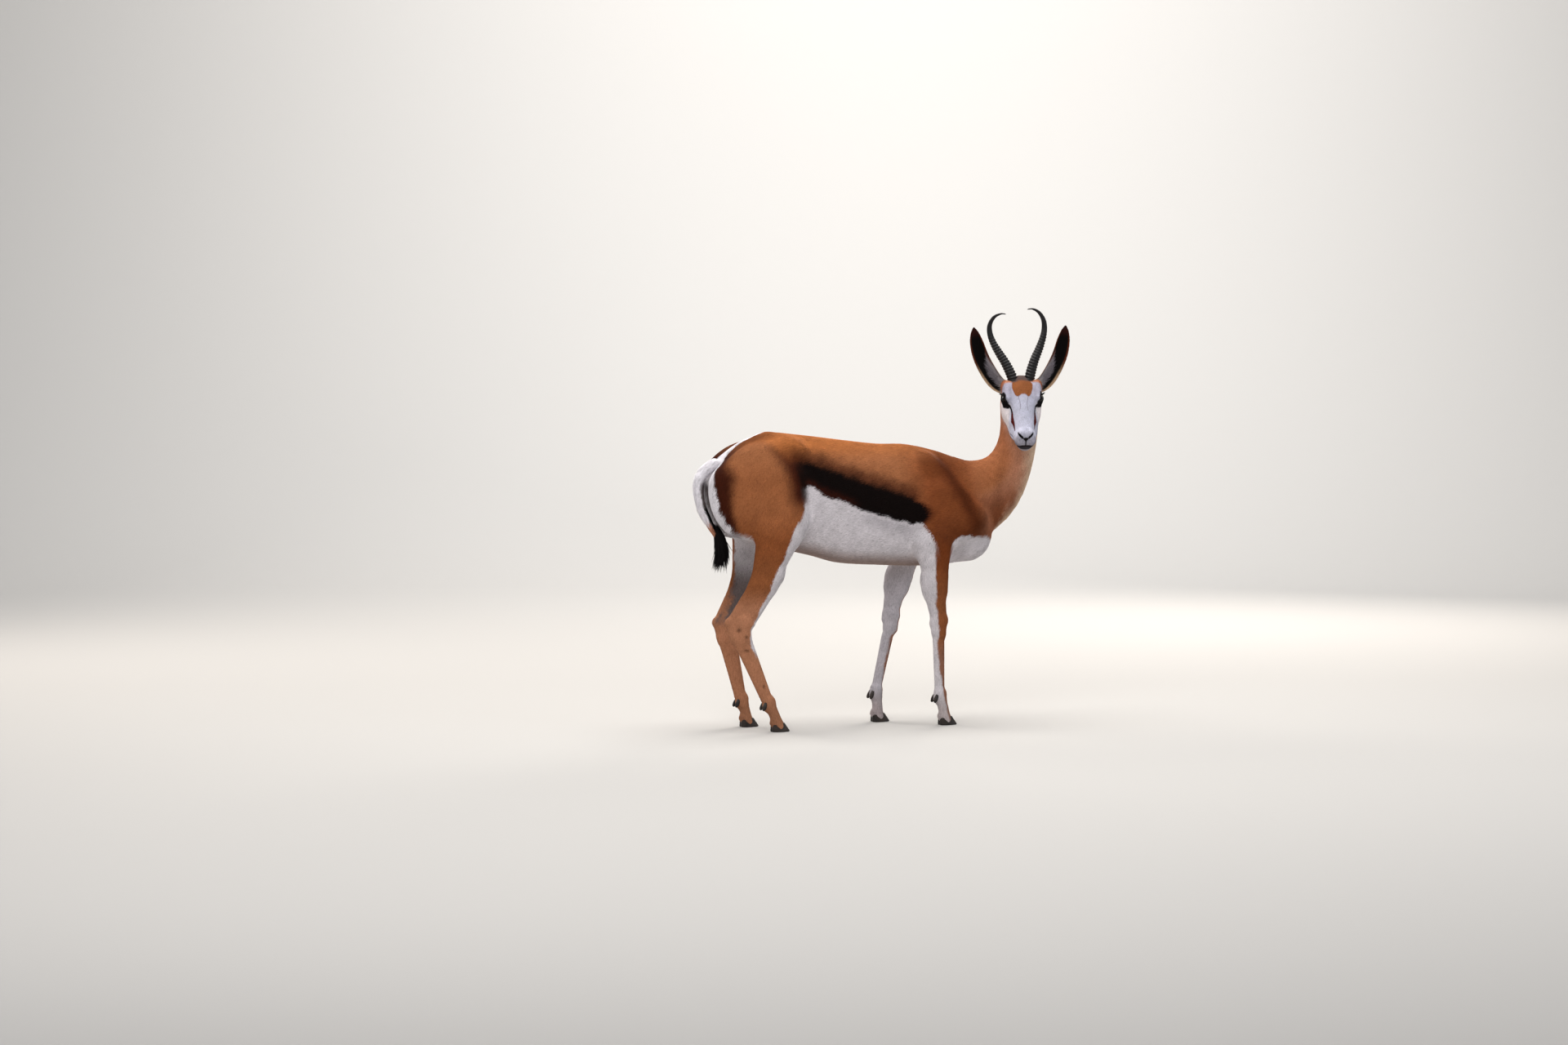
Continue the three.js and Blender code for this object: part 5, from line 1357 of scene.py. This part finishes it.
def scatter(gaps):
    """Roots over the skin, about a gap apart: places and normals."""
    corners = points[quads]
    b, c, d = (corners[:, i] - corners[:, 0] for i in (1, 2, 3))
    area = 0.5 * (np.linalg.norm(np.cross(b, c), axis=1) + np.linalg.norm(np.cross(c, d), axis=1))
    wanted = area / gaps(corners.mean(1)) ** 2
    count = np.floor(wanted + rng.random(len(wanted))).astype(int)
    which = np.repeat(np.arange(len(quads)), count)
    a, b = rng.random((2, len(which), 1))
    at = lambda v: (v[quads[which, 0]] * (1 - a) * (1 - b) + v[quads[which, 1]] * a * (1 - b)
                    + v[quads[which, 2]] * a * b + v[quads[which, 3]] * (1 - a) * b)
    return at(points), unit(at(normals))


CLAW_HAIR = 25  # no tufts below this height


def face_share(p):
    """1 on the face, 0 on the neck and body."""
    return 1 - smooth(np.linalg.norm(p - HEAD_AT, axis=1), *FACE_END)


def by_place(p, body, legs, face):
    """A size that changes from the body to the lower legs and to the face."""
    return mix(mix(body, legs, smooth(-p[:, 2], -430, -300)), face, face_share(p))


def bare(p):
    """Places without tufts: the nose pad and lips, the eyes' openings and the edge above the claws."""
    h = to_head(p)
    nose = (h[:, 0] > 127) & (np.linalg.norm(p - HEAD_AT, axis=1) < 180)
    h[:, 1] = np.abs(h[:, 1])
    ahead, off = about_eye(h)
    opening = (np.linalg.norm(off, axis=1) < 13.5) & (ahead > 0)
    return nose | opening | (p[:, 2] < CLAW_HAIR)


def mottled(count, spread=0.07):
    """Each tuft's own brightness, with a few dark flecks."""
    shade = rng.normal(1, spread, count)
    flecks, dark = 0.035, 0.66
    return (shade * np.where(rng.random(count) < flecks, dark, 1))[:, None]


# A tuft's gap, length, width and lift on the body, the legs and the face, and on the long hair of the rump
GAP, LENGTH, WIDTH, LIFT = (2.75, 2.3, 1.55), (10.5, 6.5, 3.4), (1.45, 1.05, 0.75), (0.5, 0.35, 0.2)
LONG_LENGTH, LONG_LIFT = 17.0, 2.2

root, up = scatter(lambda p: by_place(p, *GAP))
kept = ~bare(root)
root, up = root[kept], up[kept]
far = nearness(root)
lie = lie_of(root, up, far)
which, share, angle = place_on(root, far)
uv = np.zeros((len(root), 2))
for i, name in enumerate(REGIONS):
    m = which == i
    uv[m] = chart_place(name, share[m], angle[m])
long_hair = smooth(rump_near(root), 0, 8) * smooth(root[:, 2], 500, 540) * smooth(-root[:, 0], 310, 340)
length = mix(by_place(root, *LENGTH), LONG_LENGTH, long_hair) * rng.uniform(0.8, 1.25, len(root))
width = by_place(root, *WIDTH) * rng.uniform(0.8, 1.2, len(root))
lift = mix(by_place(root, *LIFT), LONG_LIFT, long_hair) * rng.uniform(0.6, 1.3, len(root))
colour = coat_colour(root, far, rng.normal(0, 1.5, len(root))) * mottled(len(root))

coat, face_coat = [], []
MOST = 31000  # tufts in one piece, to keep it under 200,000 triangles
for i, name in enumerate(REGIONS):
    m = np.nonzero(which == i)[0]
    m = m[np.argsort(root[m, 0])]
    for part, chosen in enumerate(np.array_split(m, max(1, math.ceil(len(m) / MOST)))):
        piece = tuft_mesh(f"coat_{name}_{part + 1}", root[chosen], up[chosen], lie[chosen], length[chosen],
                          width[chosen], lift[chosen], colour[chosen], uv[chosen])
        (face_coat if name == "head" else coat).append(piece)


def sheet_roots(at, count, low, high):
    """Roots over a sheet at(share, across): places, normals and the way along it."""
    share, across = rng.uniform(low[0], high[0], count), rng.uniform(low[1], high[1], count)
    p = at(share, across)
    along, over = at(share + 0.01, across) - p, at(share, across + 0.01) - p
    return p, unit(np.cross(over, along)), unit(along), share, across


def ear_tufts(side, s):
    """Short hair over the outside of an ear, and long pale hair inside its lower inner edge."""
    pieces = []
    outside = lambda t, across: ear_point(t, across, False, s)
    p, n, way, t, across = sheet_roots(outside, 5200, (0.06, -0.96), (0.985, 0.96))
    n *= np.sign((n * (p - ear_point(t, 0 * t, True, s))).sum(1))[:, None]
    chart = chart_place("ear_" + side, t, (across + 1) / 2)
    c = ear_colour(t, across, False, rng.normal(0, 1, len(t))) * mottled(len(t))
    size = mix(5.5, 2.6, smooth(t, 0.8, 1)) * rng.uniform(0.8, 1.2, len(t))
    pieces.append(tuft_mesh("coat_ear_" + side, p, n, way, size, 1.2 + 0 * t, 0.35 + 0 * t, c, chart))
    inside = lambda t, across: ear_point(t, across, True, s)
    p, n, way, t, across = sheet_roots(inside, 1700, (0.12, -0.95), (0.66, 0.25))
    m = rng.random(len(t)) < smooth(-across + 0.2 - 0.8 * smooth(t, 0.36, 0.66), -0.1, 0.4)
    p, n, way, t, across = (values[m] for values in (p, n, way, t, across))
    n *= np.sign((n * (ear_point(t, 0 * t, True, s) - ear_point(t, 0 * t, False, s))).sum(1))[:, None]
    over = unit(inside(t, across + 0.02) - p)
    c = ear_colour(t, across - 0.12, True, rng.normal(0, 1.5, len(t))) * rng.normal(1.05, 0.12, (len(t), 1))
    size = 14 * rng.uniform(0.6, 1.25, len(t)) * (1 - 0.5 * smooth(t, 0.45, 0.66))
    chart = chart_place("ear_" + side, t, (across + 1) / 2)
    pieces.append(tuft_mesh("coat_ear_lining_" + side, p, n, unit(way + 0.5 * over), size, 0.7 + 0 * t,
                            1.6 + 0 * t, c, chart, rings=2, sway=0.25))
    return pieces


# Name, number of tufts, where they start and end along the tail, and their width
TAIL_TUFTS = [("hair", 3600, 0.03, 0.95, 1.9), ("brush", 760, 0.62, 0.98, 2.6)]


def tail_tufts():
    """Hair down the tail, and the black locks of its brush, which fall forward from its lower end."""
    rows, sides = 120, 48
    line, rings = tail_rings(rows, sides)
    pieces = []
    for name, count, low, high, wide in TAIL_TUFTS:
        share = rng.uniform(low, high, count)
        turn_at = rng.integers(0, sides, count)
        i = np.minimum((share * (rows - 1)).astype(int), rows - 2)
        past = (share * (rows - 1) - i)[:, None]
        p = mix(rings[i, turn_at], rings[i + 1, turn_at], past)
        n, way = unit(p - mix(line[i], line[i + 1], past)), headings(line)[i]
        c = tail_colour(share, -n[:, 0], rng.normal(0, 1, count)) * mottled(count, 0.06)
        if name == "hair":
            length = 21 * rng.uniform(0.75, 1.2, count)
            lift = 4.2 * rng.uniform(0.6, 1.2, count)
        else:
            angle = rng.uniform(0, 2 * math.pi, count)
            t = rng.uniform(0, 1, count) ** 0.8
            ahead = mix(0.36, -0.2, t) + 0.12 * np.cos(angle)
            way = unit(np.stack([ahead, 0.13 * np.sin(angle), -1 + 0 * t], 1))
            middle = np.stack([BRUSH_X(t), 0 * t, BRUSH_Z(t)], 1)
            p = middle + BRUSH_HALF(t)[:, None] * np.stack([np.cos(angle), 0.8 * np.sin(angle), 0 * t], 1)
            n = unit(np.stack([np.cos(angle), np.sin(angle), 0 * t], 1) + 0.001)
            n = unit(n - way * (n * way).sum(1)[:, None])
            length = 70 * rng.uniform(0.62, 1.12, count)
            lift = 3.0 * rng.uniform(0.3, 1.2, count)
            c = np.tile(rgb(10, 8, 9), (count, 1)) * rng.normal(1, 0.2, (count, 1))
        chart = chart_place("tail", share, turn_at / sides)
        pieces.append(tuft_mesh("coat_tail_" + name, p, n, way, length, wide + 0 * share, lift, c, chart,
                                rings=3, sway=0.1))
    return pieces


ear_coat = [piece for side, s in SIDES.items() for piece in ear_tufts(side, s)]
tail_coat = tail_tufts()
tufts = coat + face_coat + ear_coat + tail_coat
print("tufts", len(root), "triangles", sum(len(piece.data.polygons) for piece in tufts))


# Finishes
def fresh(name):
    """A new material, with one function that adds nodes to it and one that sets its shader's inputs."""
    material = bpy.data.materials.new(name)
    material.use_nodes = True
    tree = material.node_tree
    tree.nodes.clear()

    def put(made, key, value):
        """Sets an input of a node, or joins it to another node's output."""
        target = made.inputs[key.replace("_", " ") if isinstance(key, str) else key]
        if isinstance(value, bpy.types.NodeSocket):
            tree.links.new(value, target)
        else:
            target.default_value = value

    def node(kind, sockets=(), **values):
        made = tree.nodes.new("ShaderNode" + kind)
        for key, value in values.items():
            if key.replace("_", " ") in made.inputs:
                put(made, key, value)
            else:
                setattr(made, key, value)
        for place, value in sockets:
            put(made, place, value)
        return made

    shader = node("BsdfPrincipled")
    node("OutputMaterial", Surface=shader.outputs[0])

    def surface(**values):
        for key, value in values.items():
            put(shader, key, value)

    return material, node, surface


def shaded(node, paint, amount):
    """The piece's own colours, brighter or darker by an amount."""
    tint = node("VectorMath", [(0, paint.outputs["Color"])], operation="SCALE", Scale=amount.outputs[0])
    return tint.outputs[0]


def fur_finish(name, roughness, bump, streak=0.3):
    """Hair: the coat's own colours, with fine streaks along its lie."""
    material, node, surface = fresh(name)
    paint = node("Attribute", attribute_name="Coat")
    place = node("TexCoord").outputs["Object"]
    lie_way = node("Attribute", attribute_name="Lie")
    streaks = []
    for scale in ((90, 420, 420), (420, 420, 90)):
        mapping = node("Mapping", Scale=scale, Vector=place)
        noise = node("TexNoise", Scale=1.0, Detail=3.0, Roughness=0.6, Vector=mapping.outputs[0])
        streaks.append(noise.outputs["Fac"])
    split = node("SeparateXYZ", [(0, lie_way.outputs["Vector"])])
    steep = node("Math", [(0, split.outputs["Z"])], operation="ABSOLUTE")
    blended = [(0, steep.outputs[0]), (2, streaks[0]), (3, streaks[1])]
    hair = node("Mix", blended, data_type="FLOAT").outputs[0]
    low, high = 1 - streak, 1 + streak * 0.7
    shade = node("MapRange", From_Min=0.3, From_Max=0.7, To_Min=low, To_Max=high, Value=hair)
    surface(Base_Color=shaded(node, paint, shade))
    raised = node("Bump", Strength=bump, Distance=0.0012, Height=hair)
    surface(Normal=raised.outputs[0], Roughness=roughness, Specular_IOR_Level=0.07)
    return material


def horn_finish(name, dark, light, roughness, scale):
    """Horn: dark, with fine lengthwise grain and paler worn places."""
    material, node, surface = fresh(name)
    place = node("TexCoord").outputs["Object"]
    mapping = node("Mapping", Scale=scale, Vector=place)
    grain = node("TexNoise", Scale=1.0, Detail=6.0, Roughness=0.65, Vector=mapping.outputs[0]).outputs["Fac"]
    worn = node("TexNoise", Scale=38.0, Detail=3.0, Vector=place).outputs["Fac"]
    both = node("Math", [(0, grain), (1, worn)], operation="MULTIPLY")
    ramp = node("ValToRGB", Fac=both.outputs[0])
    for end, at, colour in zip(ramp.color_ramp.elements, (0.18, 0.42), (dark, light)):
        end.position, end.color = at, (*colour, 1)
    rough = node("MapRange", To_Min=roughness - 0.1, To_Max=roughness + 0.16, Value=grain)
    raised = node("Bump", Strength=0.5, Distance=0.0006, Height=grain)
    surface(Base_Color=ramp.outputs["Color"], Roughness=rough.outputs[0], Normal=raised.outputs[0],
            Specular_IOR_Level=0.34)
    return material


def painted_finish(name, roughness, gloss, low, high):
    """The piece's own colours under fine cloudy shades, with or without a clear wet layer."""
    material, node, surface = fresh(name)
    paint = node("Attribute", attribute_name="Coat")
    cloud = node("TexNoise", Scale=260.0, Detail=2.0, Vector=node("TexCoord").outputs["Object"])
    shade = node("MapRange", To_Min=low, To_Max=high, Value=cloud.outputs["Fac"])
    surface(Base_Color=shaded(node, paint, shade), Roughness=roughness, Specular_IOR_Level=0.1,
            Coat_Weight=gloss, Coat_Roughness=0.02)
    return material


skin_finish = fur_finish("short_coat", 0.82, 0.5)
tuft_finish = fur_finish("coat_tufts", 0.68, 0.15, 0.14)
horn_material = horn_finish("horn_sheath", rgb(4, 3, 4), rgb(20, 14, 18), 0.42, (700, 700, 90))
claw_material = horn_finish("claw_horn", rgb(20, 16, 15), rgb(62, 50, 42), 0.46, (300, 300, 900))
eye_material = painted_finish("eye_gloss", 0.2, 0.2, 0.75, 1.25)
lid_material = painted_finish("lid_skin", 0.42, 0.0, 0.7, 1.2)

FINISHES = [
    ([skin], skin_finish, "body_coat"), ([tail], skin_finish, "tail_coat"), (ears, skin_finish, "ear_coat"),
    (coat, tuft_finish, "body_coat"), (face_coat, tuft_finish, "face_coat"),
    (ear_coat, tuft_finish, "ear_coat"), (tail_coat, tuft_finish, "tail_coat"),
    (lids, lid_material, "face_coat"), (horns, horn_material, "horn"), (claws, claw_material, "claw"),
    (eyes, eye_material, "eye")]
for pieces, finish, slot in FINISHES:
    for piece in pieces:
        piece.data.materials.clear()
        piece.data.materials.append(finish)
        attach(piece, "root")

FLESH = ["torso", "neck", "head"] + [f"{part}_{side}" for side in LEGS
                                     for part in ("thigh", "shank", "hind_cannon", "forearm", "fore_cannon")]
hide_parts(*FLESH)
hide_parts("tail")
for ear, side in zip(ears, ("left", "right")):
    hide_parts("ear_" + side)

# Floor, lights and camera, in metres
FLOOR_COLOUR, FLOOR_ROUGHNESS = (0.47, 0.46, 0.445, 1), 0.9
FLOOR_HALF, FLOOR_FRONT = 14, -16.0
BACKDROP_START, BACKDROP_RADIUS, BACKDROP_TOP = 5.0, 3.0, 9.0


def make_stage():
    """A pale floor that curves up into a backdrop behind the animal, as the camera sees it."""
    ahead = Vector((0.341, 0.938, 0)).normalized()
    across = Vector((ahead.y, -ahead.x, 0))
    bend = [(BACKDROP_START + BACKDROP_RADIUS * math.sin(a), BACKDROP_RADIUS * (1 - math.cos(a)))
            for a in np.linspace(0.05, math.pi / 2, 24)]
    end = (BACKDROP_START + BACKDROP_RADIUS, BACKDROP_TOP)
    profile = [(FLOOR_FRONT, 0.0), (BACKDROP_START, 0.0), *bend, end]
    rows = [ahead * d + across * side + Vector((0, 0, z))
            for d, z in profile for side in (-FLOOR_HALF, FLOOR_HALF)]
    faces = [(2 * i, 2 * i + 1, 2 * i + 3, 2 * i + 2) for i in range(len(profile) - 1)]
    floor = new_mesh("floor", rows, faces)
    material, _, surface = fresh("stage")
    surface(Base_Color=FLOOR_COLOUR, Roughness=FLOOR_ROUGHNESS)
    floor.data.materials.append(material)


make_stage()

# Each light's place, size, power, colour and what it points at
ANIMAL_MIDDLE, BACKDROP_MIDDLE = (0, 0, 0.55), (3.2, 8.6, 2.2)
LIGHTS = {
    "key": ((-2.4, -3.4, 3.4), (2.6, 2.2), 100, (1.0, 0.98, 0.96), ANIMAL_MIDDLE),
    "fill": ((3.4, -3.2, 2.2), (3.0, 2.4), 45, (0.95, 0.97, 1.0), ANIMAL_MIDDLE),
    "top": ((0.0, 0.3, 4.0), (3.2, 2.4), 150, (1.0, 0.97, 0.93), ANIMAL_MIDDLE),
    "rim_right": ((3.0, 3.0, 2.4), (2.0, 1.8), 95, (1.0, 0.92, 0.84), ANIMAL_MIDDLE),
    "rim_left": ((-2.6, 3.2, 2.6), (2.0, 1.8), 80, (1.0, 0.92, 0.84), ANIMAL_MIDDLE),
    "backdrop": ((1.8, 4.2, 5.2), (5.0, 2.0), 420, (1.0, 0.98, 0.96), BACKDROP_MIDDLE),
}
for name, (at, size, power, colour, target) in LIGHTS.items():
    light = bpy.data.lights.new(name, "AREA")
    light.shape = "RECTANGLE"
    light.size, light.size_y = size
    light.energy, light.color = power, colour
    lamp = placed(name, light)
    lamp.location = at
    lamp.rotation_euler = (Vector(target) - Vector(at)).to_track_quat("-Z", "Y").to_euler()

SKY_COLOUR, SKY_STRENGTH = (0.94, 0.96, 1.0, 1), 0.42
world = bpy.data.worlds.new("studio")
bpy.context.scene.world = world
world.use_nodes = True
sky = world.node_tree.nodes["Background"].inputs
sky["Color"].default_value = SKY_COLOUR
sky["Strength"].default_value = SKY_STRENGTH
bpy.context.scene.view_settings.view_transform = "Standard"

CAMERA_AT = np.array([-3764.0, -9720.0, 1187.0])  # in the solids' millimetres
PITCH, AZIMUTH = 3.364, 20.0
LENS, SENSOR, CLIP_END = 85, 36, 60
view = bpy.data.cameras.new("camera")
view.lens, view.sensor_width, view.sensor_fit = LENS, SENSOR, "HORIZONTAL"
view.clip_end = CLIP_END
camera = placed("camera", view)
camera.location = to_row(CAMERA_AT)
camera.rotation_euler = (math.radians(90 - PITCH), 0, math.radians(-AZIMUTH))
bpy.context.scene.camera = camera
